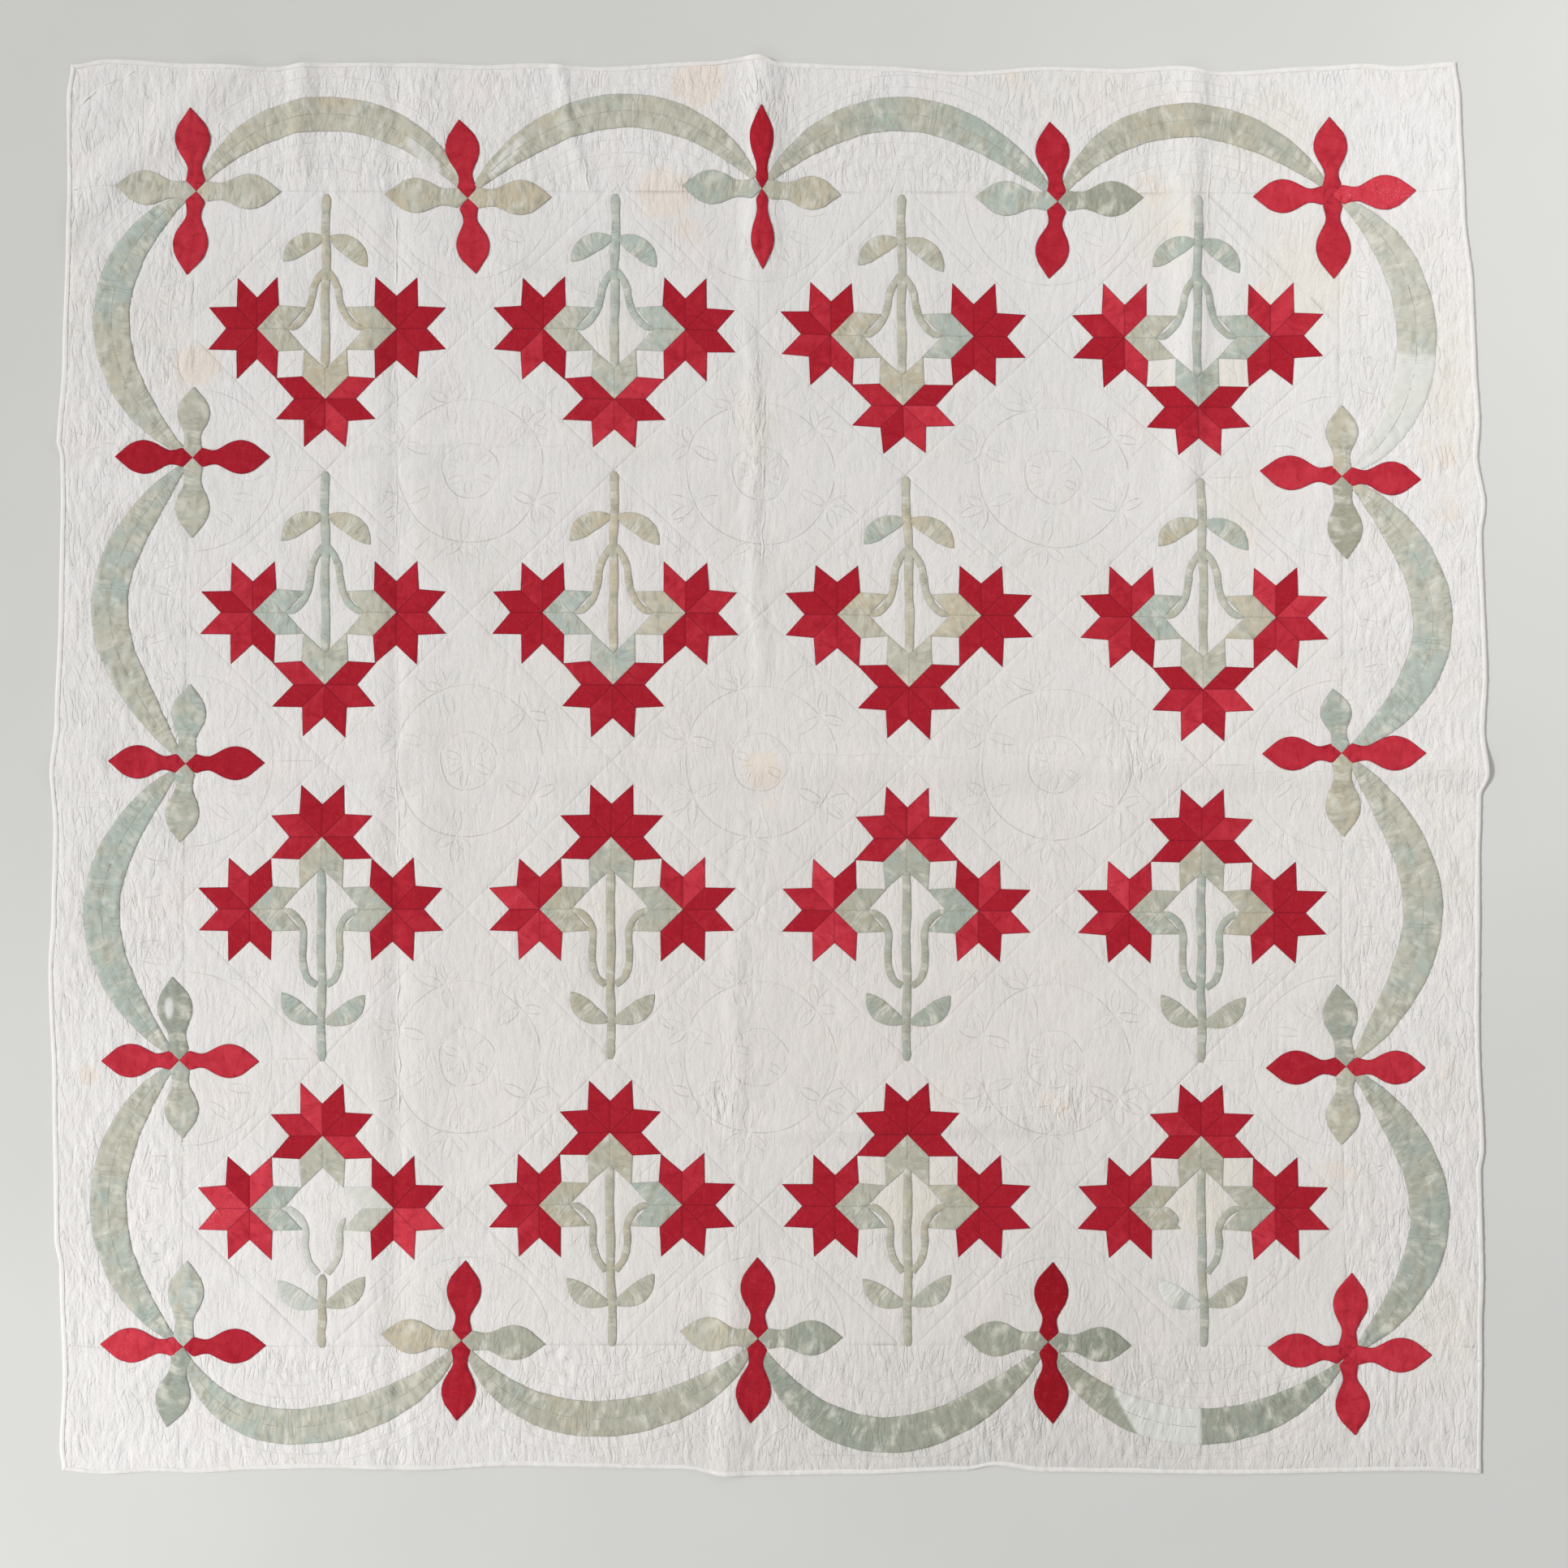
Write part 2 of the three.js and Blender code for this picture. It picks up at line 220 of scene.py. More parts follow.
def lift(x, y):
    """How high the folds hold the quilt off the floor at a real place: the highest fold there,
    each a raised cosine across its line that sinks away at its ends."""
    x, y = x - SHIFT[0], y - SHIFT[1]
    highest = np.zeros(np.broadcast(x, y).shape)
    for x0, y0, x1, y1, rise, left, right, fade in FOLDS:
        length = math.hypot(x1 - x0, y1 - y0)
        dx, dy = (x1 - x0) / length, (y1 - y0) / length
        along = (x - x0) * dx + (y - y0) * dy
        to_left = (y - y0) * dx - (x - x0) * dy + 3.5 * np.sin(along / 61 + x0) + 2.2 * np.sin(along / 23)
        across = np.clip(np.abs(to_left) / np.where(to_left > 0, left, right), 0, 1)
        inside = (along >= 0) & (along <= length)
        ends = smooth(np.minimum(along, length - along) / fade) if fade else 1.0
        highest = np.maximum(highest, inside * rise * ends * (1 + np.cos(np.pi * across)) / 2)
    return highest


# ---- The quilt's relief: a raster of small heights, pressed by its stitching and creases ----

CELL = 2.0  # from place to place of the raster
SPAN = 1090.0  # middle of the raster to its edge
CELLS = int(2 * SPAN / CELL) + 1


def crumple(seed, short, long, size=512):
    """Noise on a square tile that repeats: random waves with lengths between short and long, in
    cells, of spread 1."""
    waves = np.fft.rfft2(np.random.default_rng(seed).standard_normal((size, size)))
    pace = np.hypot(np.fft.fftfreq(size)[:, None], np.fft.rfftfreq(size)[None, :])
    keep = np.exp(-((pace * short) ** 2)) * (1 - np.exp(-((pace * long) ** 2)))
    tile = np.fft.irfft2(waves * keep, (size, size))
    return tile / tile.std()


def blend_cells(raster, gx, gy, wrap):
    """Value of a raster at cell places (gx, gy), mixed evenly from the four cells round them."""
    i, j = np.floor(gx).astype(int), np.floor(gy).astype(int)
    s, t = gx - i, gy - j
    size = raster.shape[0]
    i1, j1 = i + 1, j + 1
    if wrap:
        i, j, i1, j1 = i % size, j % size, i1 % size, j1 % size
    low = raster[j, i] * (1 - s) + raster[j, i1] * s
    high = raster[j1, i] * (1 - s) + raster[j1, i1] * s
    return low * (1 - t) + high * t


def on_tile(tile, x, y):
    """Value of a repeating tile of noise at (x, y), in its own cells."""
    return blend_cells(tile, x, y, True)


def on_quilt(raster, x, y):
    """Value of a raster of the quilt at a real place."""
    most = CELLS - 1.001
    return blend_cells(raster, np.clip((x + SPAN) / CELL, 0, most), np.clip((y + SPAN) / CELL, 0, most), False)


FINE = crumple(3, 5, 16)
SOFT = crumple(5, 10, 40)
PUCKER = crumple(7, 5, 14)

cell_x, cell_y = np.meshgrid(np.arange(CELLS) * CELL - SPAN, np.arange(CELLS) * CELL - SPAN)


# Places that have rucked up: middle, reach along X and Y, number of creases, their lean from
# upright in degrees, how far that varies, and their depth
CRUMPLED = [
    (-12, 960, 40, 120, 60, 0, 16, 1.7), (-10, 780, 36, 60, 16, -8, 20, 1.3),
    (325, -975, 120, 46, 64, 15, 45, 1.7), (560, -950, 60, 62, 26, 20, 25, 1.6),
    (-985, 500, 70, 36, 15, 90, 9, 1.6), (-990, -620, 46, 200, 34, 32, 12, 1.5),
    (-960, -960, 60, 70, 10, 35, 20, 1.3), (420, -500, 100, 50, 24, 70, 30, 1.4),
    (-72, -500, 26, 60, 12, -20, 25, 1.5), (-20, 500, 22, 130, 16, -8, 18, 1.5),
    (540, 20, 70, 50, 16, 20, 25, 1.3), (880, 280, 60, 90, 12, 60, 25, 1.2),
    (120, -990, 90, 40, 18, 0, 14, 1.3), (-180, -960, 60, 60, 14, 10, 25, 1.3),
    (-560, 1000, 90, 34, 12, 0, 25, 1.1),
]


def crumpled_at(x, y):
    """How rucked up the quilt is: 1 in the middle of the worst places."""
    most = np.zeros(np.broadcast(x, y).shape)
    for cx, cy, reach_x, reach_y, *_, depth in CRUMPLED:
        most = np.maximum(most, depth / 1.7 * np.exp(-(((x - cx) / reach_x) ** 2) - ((y - cy) / reach_y) ** 2))
    return most


def near_middle_fold(x, y):
    """How near a place is to the fold down the middle: 1 on it, dying out on both sides."""
    return np.exp(-(((x + 30 - 0.02 * y) / 34) ** 2))


def rumple():
    """Relief of washed cotton: broad soft swells, and small wrinkles that run up the quilt, or
    slant to either side of that from place to place, closer and deeper in the border."""
    in_border = smooth((np.maximum(np.abs(cell_x), np.abs(cell_y)) - FIELD + 25) / 60)
    in_border = np.maximum(in_border, 0.5 * near_middle_fold(cell_x, cell_y))
    in_border = np.maximum(in_border, 1.7 * crumpled_at(cell_x, cell_y))
    height = 0.42 * on_tile(SOFT, cell_x / 11, cell_y / 11) + 0.20 * on_tile(SOFT, cell_x / 5 + 90, cell_y / 6)
    for k, (angle, share) in enumerate(((1.57, 1.0), (1.22, 0.8), (1.95, 0.8), (0.1, 0.5))):
        run = cell_x * math.cos(angle) + cell_y * math.sin(angle)
        side = cell_y * math.cos(angle) - cell_x * math.sin(angle)
        where = smooth(0.35 + 0.8 * on_tile(SOFT, cell_x / 9 + 60 * k, cell_y / 9 - 45 * k))
        folds = on_tile(FINE, run / 5.6 + 33 * k, side / 1.8)
        height += share * where * (0.15 + 0.37 * in_border) * (folds - 0.35 * np.abs(folds))
    height += (0.07 + 0.12 * in_border) * on_tile(FINE, cell_x / 1.6, cell_y / 1.6)
    return height


relief = rumple()


def press(path, width, depth, pucker=0.0, spread=13.0, seed=0):
    """Presses a line into the relief: a rounded ditch along the path, and puckers that run away
    from it on both sides and die out with distance."""
    path = np.asarray(path, float)
    margin = max(3 * width, 2.2 * spread if pucker else 0)
    low = np.floor((path.min(0) - margin + SPAN) / CELL).astype(int).clip(0, CELLS - 1)
    high = np.ceil((path.max(0) + margin + SPAN) / CELL).astype(int).clip(1, CELLS)
    window = np.s_[low[1]:high[1], low[0]:high[0]]
    x, y = cell_x[window], cell_y[window]
    nearest = np.full(x.shape, 1e9)
    along = np.zeros(x.shape)
    done = 0.0
    for start, end in zip(path[:-1], path[1:]):
        dx, dy = end - start
        length = math.hypot(dx, dy) or 1.0
        t = np.clip(((x - start[0]) * dx + (y - start[1]) * dy) / length**2, 0, 1)
        away = np.hypot(x - start[0] - t * dx, y - start[1] - t * dy)
        closer = away < nearest
        nearest = np.where(closer, away, nearest)
        along = np.where(closer, done + t * length, along)
        done += length
    change = -depth * np.exp(-((nearest / width) ** 2))
    if pucker:
        ripple = on_tile(PUCKER, along / 1.35 + 41 * seed, nearest / 7 + 17 * seed)
        change += pucker * ripple * np.exp(-((nearest / spread) ** 2))
    relief[window] += change


# ---- Cut shapes of cloth ----


def spread_lines(low, high, step, lip=None):
    """Grid lines from low to high, at most step apart, with one more a lip inside each end."""
    if lip is None:
        return np.linspace(low, high, max(2, math.ceil((high - low) / step) + 1))
    inner = np.linspace(low + lip, high - lip, max(2, math.ceil((high - low - 2 * lip) / step) + 1))
    return np.concatenate([[low], inner, [high]])


def grid_faces(rows, columns):
    """Quads of a grid of points stored row by row."""
    here = (np.arange(rows - 1)[:, None] * columns + np.arange(columns - 1)[None, :]).ravel()
    return np.stack([here, here + 1, here + columns + 1, here + columns], 1)


def cut(x, y, z, faces, uv, **values):
    """One cut shape: its points, its faces turned to look up, its flat place and its values."""
    points = np.stack([np.ravel(x), np.ravel(y), np.ravel(z)], 1)
    a, b, c = (points[faces[: min(len(faces), 50), k]] for k in range(3))
    ab, ac = b - a, c - a
    if (ab[:, 0] * ac[:, 1] - ab[:, 1] * ac[:, 0]).sum() < 0:
        faces = faces[:, ::-1]
    filled = {k: np.broadcast_to(np.ravel(v), len(points)) for k, v in values.items()}
    return {"points": points, "faces": faces, "uv": np.reshape(uv, (-1, 2)), "values": filled}


def joined(cuts):
    """Several cut shapes as one: faces of the later ones count on from the points before them."""
    starts = np.cumsum([0] + [len(c["points"]) for c in cuts[:-1]])
    values = {k: np.concatenate([c["values"][k] for c in cuts]) for k in cuts[0]["values"]}
    return {
        "points": np.concatenate([c["points"] for c in cuts]),
        "faces": [f for c, s in zip(cuts, starts) for f in (c["faces"] + s).tolist()],
        "uv": np.concatenate([c["uv"] for c in cuts]),
        "values": values,
    }


def sew_in(name, shape, finish):
    """Makes a cut shape into an object of the scene that rides on the quilt."""
    mesh = bpy.data.meshes.new(name)
    faces = shape["faces"] if isinstance(shape["faces"], list) else shape["faces"].tolist()
    faces = [f[:3] if len(f) == 4 and f[2] == f[3] else f for f in faces]
    mesh.from_pydata((shape["points"] * MM).tolist(), [], faces)
    corner = np.empty(len(mesh.loops), np.int32)
    mesh.loops.foreach_get("vertex_index", corner)
    layer = mesh.uv_layers.new(name="cloth")
    layer.data.foreach_set("uv", (shape["uv"][corner] * MM).astype(np.float32).ravel())
    for key, value in shape["values"].items():
        mesh.attributes.new(key, "FLOAT", "POINT").data.foreach_set("value", value.astype(np.float32))
    mesh.shade_smooth()
    mesh.update()
    piece = bpy.data.objects.new(name, mesh)
    piece.data.materials.append(finish)
    bpy.context.scene.collection.objects.link(piece)
    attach(piece, "root")
    return piece


def curve_through(points, step):
    """Smooth path through its points (Catmull-Rom), given as evenly spaced points."""
    p = np.asarray(points, float)
    p = np.vstack([2 * p[0] - p[1], p, 2 * p[-1] - p[-2]])
    t = np.linspace(0, 1, 16, endpoint=False)[:, None, None]
    a, b, c, d = p[:-3], p[1:-2], p[2:-1], p[3:]
    fine = 0.5 * (2 * b + (c - a) * t + (2 * a - 5 * b + 4 * c - d) * t**2 + (3 * b - a - 3 * c + d) * t**3)
    fine = np.vstack([fine.transpose(1, 0, 2).reshape(-1, 2), p[-2:-1]])
    return evenly(fine, step)


def walked(path):
    """Distance walked along a path to each of its points."""
    return np.concatenate([[0], np.cumsum(np.hypot(*np.diff(path, axis=0).T))])


def evenly(path, step):
    """The same path as points spaced evenly, at most step apart."""
    path = np.asarray(path, float)
    reach = walked(path)
    places = np.linspace(0, reach[-1], max(2, math.ceil(reach[-1] / step) + 1))
    return np.stack([np.interp(places, reach, path[:, 0]), np.interp(places, reach, path[:, 1])], 1)


def sideways(path):
    """Unit vectors to the left of a path at each of its points."""
    ahead = np.gradient(path, axis=0)
    ahead /= np.hypot(*ahead.T)[:, None] + 1e-9
    return np.stack([-ahead[:, 1], ahead[:, 0]], 1)


def beside(path, across):
    """Places beside a path: path(s) + across(s, t) left(s)."""
    left = sideways(path)
    return path[:, :1] + across * left[:, :1], path[:, 1:] + across * left[:, 1:]


def top_face(x, y, rise):
    """Height of the quilt's top at a real place, with rise for a patch that lies on it."""
    return LOFT + lift(x, y) + on_quilt(relief, x, y) + rise


def strip_on(path, half_widths, lines, low, high, **values):
    """A strip of cloth laid along a path: the point at place s and across t from -1 to 1 is
    path(s) + t half width(s) left(s). Its edges lie low over the quilt and its middle high."""
    half = np.broadcast_to(half_widths, len(path)).astype(float)
    across = half[:, None] * lines[None, :]
    x, y = beside(path, across)
    reach = walked(path)[:, None]
    inside = np.minimum(half[:, None] - np.abs(across), np.minimum(reach, reach[-1] - reach) + 0.25)
    turned = smooth(inside / 1.8)
    uv = np.stack([np.broadcast_to(reach, x.shape), across], -1)
    columns = {k: np.reshape(v, (-1, 1)) if np.ndim(v) == 1 else v for k, v in values.items()}
    values = {k: np.broadcast_to(v, x.shape) for k, v in columns.items()}
    # the edge value grows towards the strip's rim; the finishes draw it as painted shade
    return cut(
        x, y, top_face(x, y, low + (high - low) * turned), grid_faces(*x.shape), uv,
        edge=1.0 - smooth(inside / 1.3), **values,
    )


def outline_of(path, half_widths):
    """Closed line round a strip, up its left edge and back down its right one."""
    across = np.broadcast_to(half_widths, len(path))[:, None] * sideways(path)
    return np.vstack([path + across, (path - across)[::-1], (path + across)[:1]])


# ---- Where everything goes ----

# Name, real middle, colour plan, and its upper, right, lower and left petal: the tip from the
# middle, and for a red one how worn it is, for a green one its hue and how deep its dye; hues run
# from -1 tan over 0 sage to 1 blue-green
CROSSES = {
    "top_1": ((-843, 846), "upright", [
        (-8, 122, 0.5), (124, -1, -0.1, 0.1), (-14, -123, 0.5), (-118, 8, 0.1, 0.1),
    ]),
    "top_2": ((-443, 835.5), "upright", [
        (-13, 116, 0.4), (123, 2, -1.5, 0.3), (12, -111, 0.5), (-122, 6, -0.6, 0.3),
    ]),
    "top_3": ((-9.5, 848.5), "pinched", [
        (-1, 124, 0.1), (116, -8, -0.6, 0.4), (1, -118, 0.4), (-118, 6, 0.7, 0.6),
    ]),
    "top_4": ((426, 831), "upright", [
        (-12, 117, 0.3), (126, 6, -0.9, 1.55), (-13, -114, 0.3), (-121, 7, 0.7, 0.3),
    ]),
    "top_5": ((831, 840), "red", [
        (-5, 115, 0.5), (123, 7, 0.85), (2, -123, 0.45), (-117, -2, 0.6),
    ]),
    "right_2": ((845, 426), "level", [
        (0, 104, -0.6, 0.35), (116, -5, 0.45), (7, -122, -1.2, 1.35), (-121, 8, 0.55),
    ]),
    "right_3": ((844, 18), "level", [
        (-13, 95, 0.9, 0.75), (124, 0, 0.5), (4, -123, -0.8, 0.45), (-117, -1, 0.42),
    ]),
    "right_4": ((851, -444), "level", [
        (-14, 121, 0.5, 1.2), (117, -2, 0.5), (-7, -115, -0.2, 0.5), (-118, -2, 0.22),
    ]),
    "bottom_5": ((853.5, -869), "red", [
        (6, 121, 0.5), (124, 0, 0.57), (11, -118, 0.45), (-118, 11, 0.5),
    ]),
    "bottom_4": ((412, -850), "upright", [
        (7, 118, -0.9), (122, -5, -0.3, 1.9), (7, -120, -0.9), (-124, 8, 0.2, 1.4),
    ]),
    "bottom_3": ((-15.5, -845), "upright", [
        (-1, 120, 0.15), (124, 2, 0.6, 1.4), (-11, -124, 0.15), (-115, 11, -0.3, 0.35),
    ]),
    "bottom_2": ((-452.5, -847.5), "upright", [
        (6, 118, 0.2), (123, -5, 0.1, 1.1), (-7, -118, 0.2), (-118, 10, -1.4, 0.4),
    ]),
    "left_5": ((-863, -857), "level", [
        (7, 127, 0.5, -0.1), (122, 2, 0.3), (-24, -118, 1.1, 1.2), (-122, 4, 0.75),
    ]),
    "left_4": ((-868, -434.5), "level", [
        (-11, 123, 0.7, 1.45), (117, -2, 0.58), (5, -115, 0.5, 0.5), (-115, -1, 0.55),
    ]),
    "left_3": ((-858, 2.5), "level", [
        (6, 117, 0.8, 0.35), (116, 1, -0.1), (-10, -116, 0.4, 0.55), (-114, 4, 0.38),
    ]),
    "left_2": ((-848.5, 453.5), "level", [
        (2, 104, 0.3, 0.45), (114, 1, 0.1), (-1, -118, 0.2, 0.35), (-114, 1, -0.1),
    ]),
}

# From cross to cross, rise of the bow outwards, how far it strays outwards from a true arc at
# each quarter of its way, how deep its dye, and the hues along it
SWAGS = [
    ("top_1", "top_2", 118, (2, 1, -1), 0.2, (0.3, -0.2, -0.3, 0.1, -0.3)),
    ("top_2", "top_3", 119, (-5, 3, 5), 0.3, (-0.4, -0.4, 0.4, 0.3, -0.1, 0.2)),
    ("top_3", "top_4", 118, (2, 1, -8), 0.55, (-0.3, -0.1, 0.4, 0.6, 1.2, 0.7)),
    ("top_4", "top_5", 118, (2, -4, -9), 0.65, (-0.1, -0.1, -0.4, -0.2, 0.0, -0.4)),
    ("top_5", "right_2", 131, (-10, -14, -8), 0.35, (0.3, 0.1, 0.2, 0.4, 0.6)),
    ("right_2", "right_3", 135, (-11, -1, -2), 0.25, (-0.3, 0.1, 0.3, 0.5, 1.3, 0.8)),
    ("right_3", "right_4", 135, (-20, -18, -21), 0.4, (-0.2, 0.0, 0.3, 0.4, 0.2, -0.1)),
    ("right_4", "bottom_5", 130, (-14, -8, -9), 0.85, (0.1, 0.2, 0.5, 0.9, 0.4, 1.0)),
    ("bottom_5", "bottom_4", 117, (-3, -2, 0), 1.45, (0.3, 0.6, 0.8, 0.7, 0.8, -0.5, 0.0)),
    ("bottom_4", "bottom_3", 118, (0, 20, 22), 1.45, (0.4, -0.2, 0.0, 0.9, 0.9, 0.5)),
    ("bottom_3", "bottom_2", 119, (-6, -3, 5), 0.75, (0.0, 0.2, -0.4, -0.4, 0.1, 0.2)),
    ("bottom_2", "left_5", 118, (-8, 0, 17), 0.3, (0.1, 0.2, 0.4, 0.5, 0.8, 0.5)),
    ("left_5", "left_4", 118, (-9, -10, -10), 0.35, (0.6, 0.8, 0.8, 0.3, 0.1, 0.6)),
    ("left_4", "left_3", 120, (-6, 0, -6), 0.3, (0.4, 0.8, 1.0, 0.8, 0.9, 0.3)),
    ("left_3", "left_2", 120, (-14, -2, -9), 0.15, (-0.1, 0.4, 0.3, 0.8, 0.4, 0.2)),
    ("left_2", "top_1", 120, (-3, 3, 2), 0.15, (0.1, 0.3, -0.3, 0.7, 0.8, 0.6)),
]
SWAG_HALVES = (25.0, 29.0, 26.5, 26.5)  # half width of the four swags on each side of the quilt

# Bleached places in the green patches: middle, half length, half width, slant in degrees, share
BLEACHED = [
    (-508, 899, 34, 9, -45, 0.8), (-385, 898, 36, 8, 48, 0.8), (-883, -357, 15, 6, 90, 0.9),
    (-862, -520, 12, 4, 80, 0.4), (-900, 930, 14, 8, 45, 0.3), (620, 905, 20, 10, 0, 0.3),
    (-300, 945, 16, 10, -20, 0.4), (560, -905, 60, 14, 20, 0.3), (980, 250, 30, 8, 80, 0.25),
]

# One row of lilies at a time: which way the third flower looks, where its stem ends, forks and
# leafs below the middle, the tips of its two leaves, and the middle line of a side stem.
LILY_ROWS = [
    (-1, 199, 135, (-64.6, -99.4), (61, -91),
     [(2.4, -85), (11.4, -74.2), (18, -59.9), (20.3, -45.5), (26.3, -26.3), (38.3, -9.6), (49, -2), (59, 0)]),
    (-1, 214.3, 146, (-64.6, -107.7), (67, -101.7),
     [(3, -99), (12.5, -86), (20, -68), (22, -50), (27, -28), (38, -10), (50, -2), (59, 0)]),
    (1, 219, 164, (-58.7, -120.9), (64.6, -124.5),
     [(7.2, -110), (19.2, -101.7), (26.3, -83.8), (27.5, -62.2), (26.3, -35.9), (31, -19), (43.1, -6), (60, 0)]),
    (1, 205, 143.6, (-65.8, -106.5), (63.4, -100.5),
     [(7, -96), (20, -78), (25.5, -55), (25, -31), (33, -14), (46, -2.6), (60, 0)]),
]

# Hues of each lily's main stem, left and right leaf, and left, right and third calyx, and last how
# deep its dye, row by row
LILY_HUES = [
    [(-0.6, -0.6, -0.7, -0.3, -0.6, -0.7, 0.35), (0.9, 0.9, 0.8, 0.4, 0.7, 0.6, 0.15),
     (-0.2, -0.5, -0.2, -0.6, 1.0, -0.7, 0.45), (0.9, 0.8, 0.9, -0.2, 1.0, 0.9, 0.5)],
    [(0.9, -0.2, -0.3, 0.7, 0.1, 0.3, 0.2), (-0.7, -0.6, -0.6, 0.5, -0.6, 0.8, 0.2),
     (-0.5, 0.8, -0.7, -0.7, -0.6, -0.5, 0.3), (0.1, -0.8, 0.7, 0.7, -0.8, 0.3, 0.4)],
    [(0.8, 0.6, 0.7, 0.4, 0.7, -0.2, 0.45), (-0.5, -0.2, -0.4, -0.5, -0.1, 0.2, 0.65),
     (0.3, 0.6, 0.6, -0.6, 0.9, 0.5, 0.85), (0.7, 0.5, 0.3, 0.1, -0.7, -0.6, 0.75)],
    [(-0.1, 0.9, 0.0, 0.9, 0.3, -0.1, 0.55), (-0.4, -0.1, 0.1, -0.7, 0.7, -0.6, 0.65),
     (-0.4, 0.2, 0.3, 0.1, -0.1, -0.3, 0.65), (0.3, 0.6, 0.0, -0.5, 0.4, -0.5, 0.8)],
]


def lily_middle(row, column):
    """Pattern place of a lily's middle, rows from the top and columns from the left."""
    return np.array([(column - 1.5) * PITCH, (1.5 - row) * PITCH])


def lily_point(row, column, local):
    """Real place of a point given from a lily's middle, with the third flower up; a hanging
    lily is the same turned over top to bottom."""
    middle = lily_middle(row, column)
    local = np.asarray(local, float)
    x, y = real(middle[0] + local[..., 0], middle[1] + LILY_ROWS[row][0] * local[..., 1])
    return np.stack([x, y], -1)


def plain_middle(row, column):
    """Pattern place of a plain block's middle."""
    return np.array([(column - 1) * PITCH, (1 - row) * PITCH])


def pattern_line(start, end, step=24.0):
    """A straight line of the pattern as it really lies."""
    path = evenly([start, end], step)
    return np.stack(real(path[:, 0], path[:, 1]), 1)


def lens(start, end, half, count=7):
    """The two sides of a leaf from start to end, each a bow of height half."""
    start, end = np.asarray(start, float), np.asarray(end, float)
    t = np.linspace(0, 1, count)[:, None]
    line = start + (end - start) * t
    side = np.array([-(end - start)[1], (end - start)[0]]) / math.hypot(*(end - start))
    bow = half * 4 * t * (1 - t) * side
    return [line + bow, line - bow]


def arc_between(start, end, rise, step=4.0):
    """Circular arc from start to end that bows away from the quilt's middle by rise."""
    start, end = np.asarray(start, float), np.asarray(end, float)
    chord = end - start
    half = math.hypot(*chord) / 2
    out = np.array([-chord[1], chord[0]]) / (2 * half)
    if out @ (start + end) < 0:
        out = -out
    radius = (half**2 + rise**2) / (2 * rise)
    middle = (start + end) / 2 - out * (radius - rise)
    sweep = 2 * math.asin(min(1.0, half / radius))
    if rise > half:
        sweep = 2 * math.pi - sweep
    t = np.linspace(-sweep / 2, sweep / 2, max(8, int(sweep * radius / step)))[:, None]
    return middle + radius * (np.cos(t) * out + np.sin(t) * chord / (2 * half))


# ---- Quilting and seams: every line is pressed into the relief; quilted lines and creases are stitched later ----

stitching = {}


def quilted(group, path, strength=1.0, width=4.0, depth=0.4, pucker=0.16):
    """A line of quilting: pressed now, and kept to be stitched once the relief is done."""
    group_lines = stitching.setdefault(group, [])
    press(path, width, depth, pucker, seed=len(group_lines) + len(stitching) * 7)
    group_lines.append((path, strength))


def block_seams():
    """Seams between the blocks, along both diagonals of the pattern, from border to border."""
    for k in np.arange(-3.5, 4.0, 1.0):
        offset = k * PITCH
        for flip in (1, -1):
            low = max(-FIELD, offset - FIELD)
            high = min(FIELD, offset + FIELD)
            if high - low < 30:
                continue
            ends = [(low, flip * (offset - low)), (high, flip * (offset - high))]
            press(pattern_line(*ends), 3.6, 0.18, 0.16, 15.0, seed=int(9 * k) + flip)
    for side in (-1, 1):
        for turned in (False, True):
            ends = [(-FIELD, side * FIELD), (FIELD, side * FIELD)]
            ends = [(y, x) for x, y in ends] if turned else ends
            press(pattern_line(*ends), 3.6, 0.18, 0.16, 14.0, seed=3 * side + turned)


def lily_quilting(row, column):
    """Lines of a lily block: from the middle of each side in to the middle, and short ones
    across the open ground beside the stem."""
    group = f"lily_{row + 1}{column + 1}_quilting"
    s = STAR
    mid = PITCH / 4
    for side in (-1, 1):
        for line in (
            [(side * mid, mid), (side * 1.72 * s, 1.72 * s)],
            [(side * 1.68 * s, 1.68 * s), (side * 0.78 * s, 0.78 * s)],
            [(side * mid, -mid), (side * 0.2 * s, -0.2 * s)],
            [(side * 1.36 * s, 0.0), (side * 0.3 * s, 1.06 * s)],
            [(side * 0.36 * s, 0.36 * s), (side * 0.98 * s, -0.26 * s)],
            [(side * 2.5 * s, -1.9 * s), (side * 1.35 * s, -3.05 * s)],
            [(side * 0.5 * s, -3.9 * s), (side * 1.7 * s, -2.7 * s)],
        ):
            quilted(group, lily_point(row, column, evenly(line, 20)), 0.55, 3.4, 0.2, 0.12)


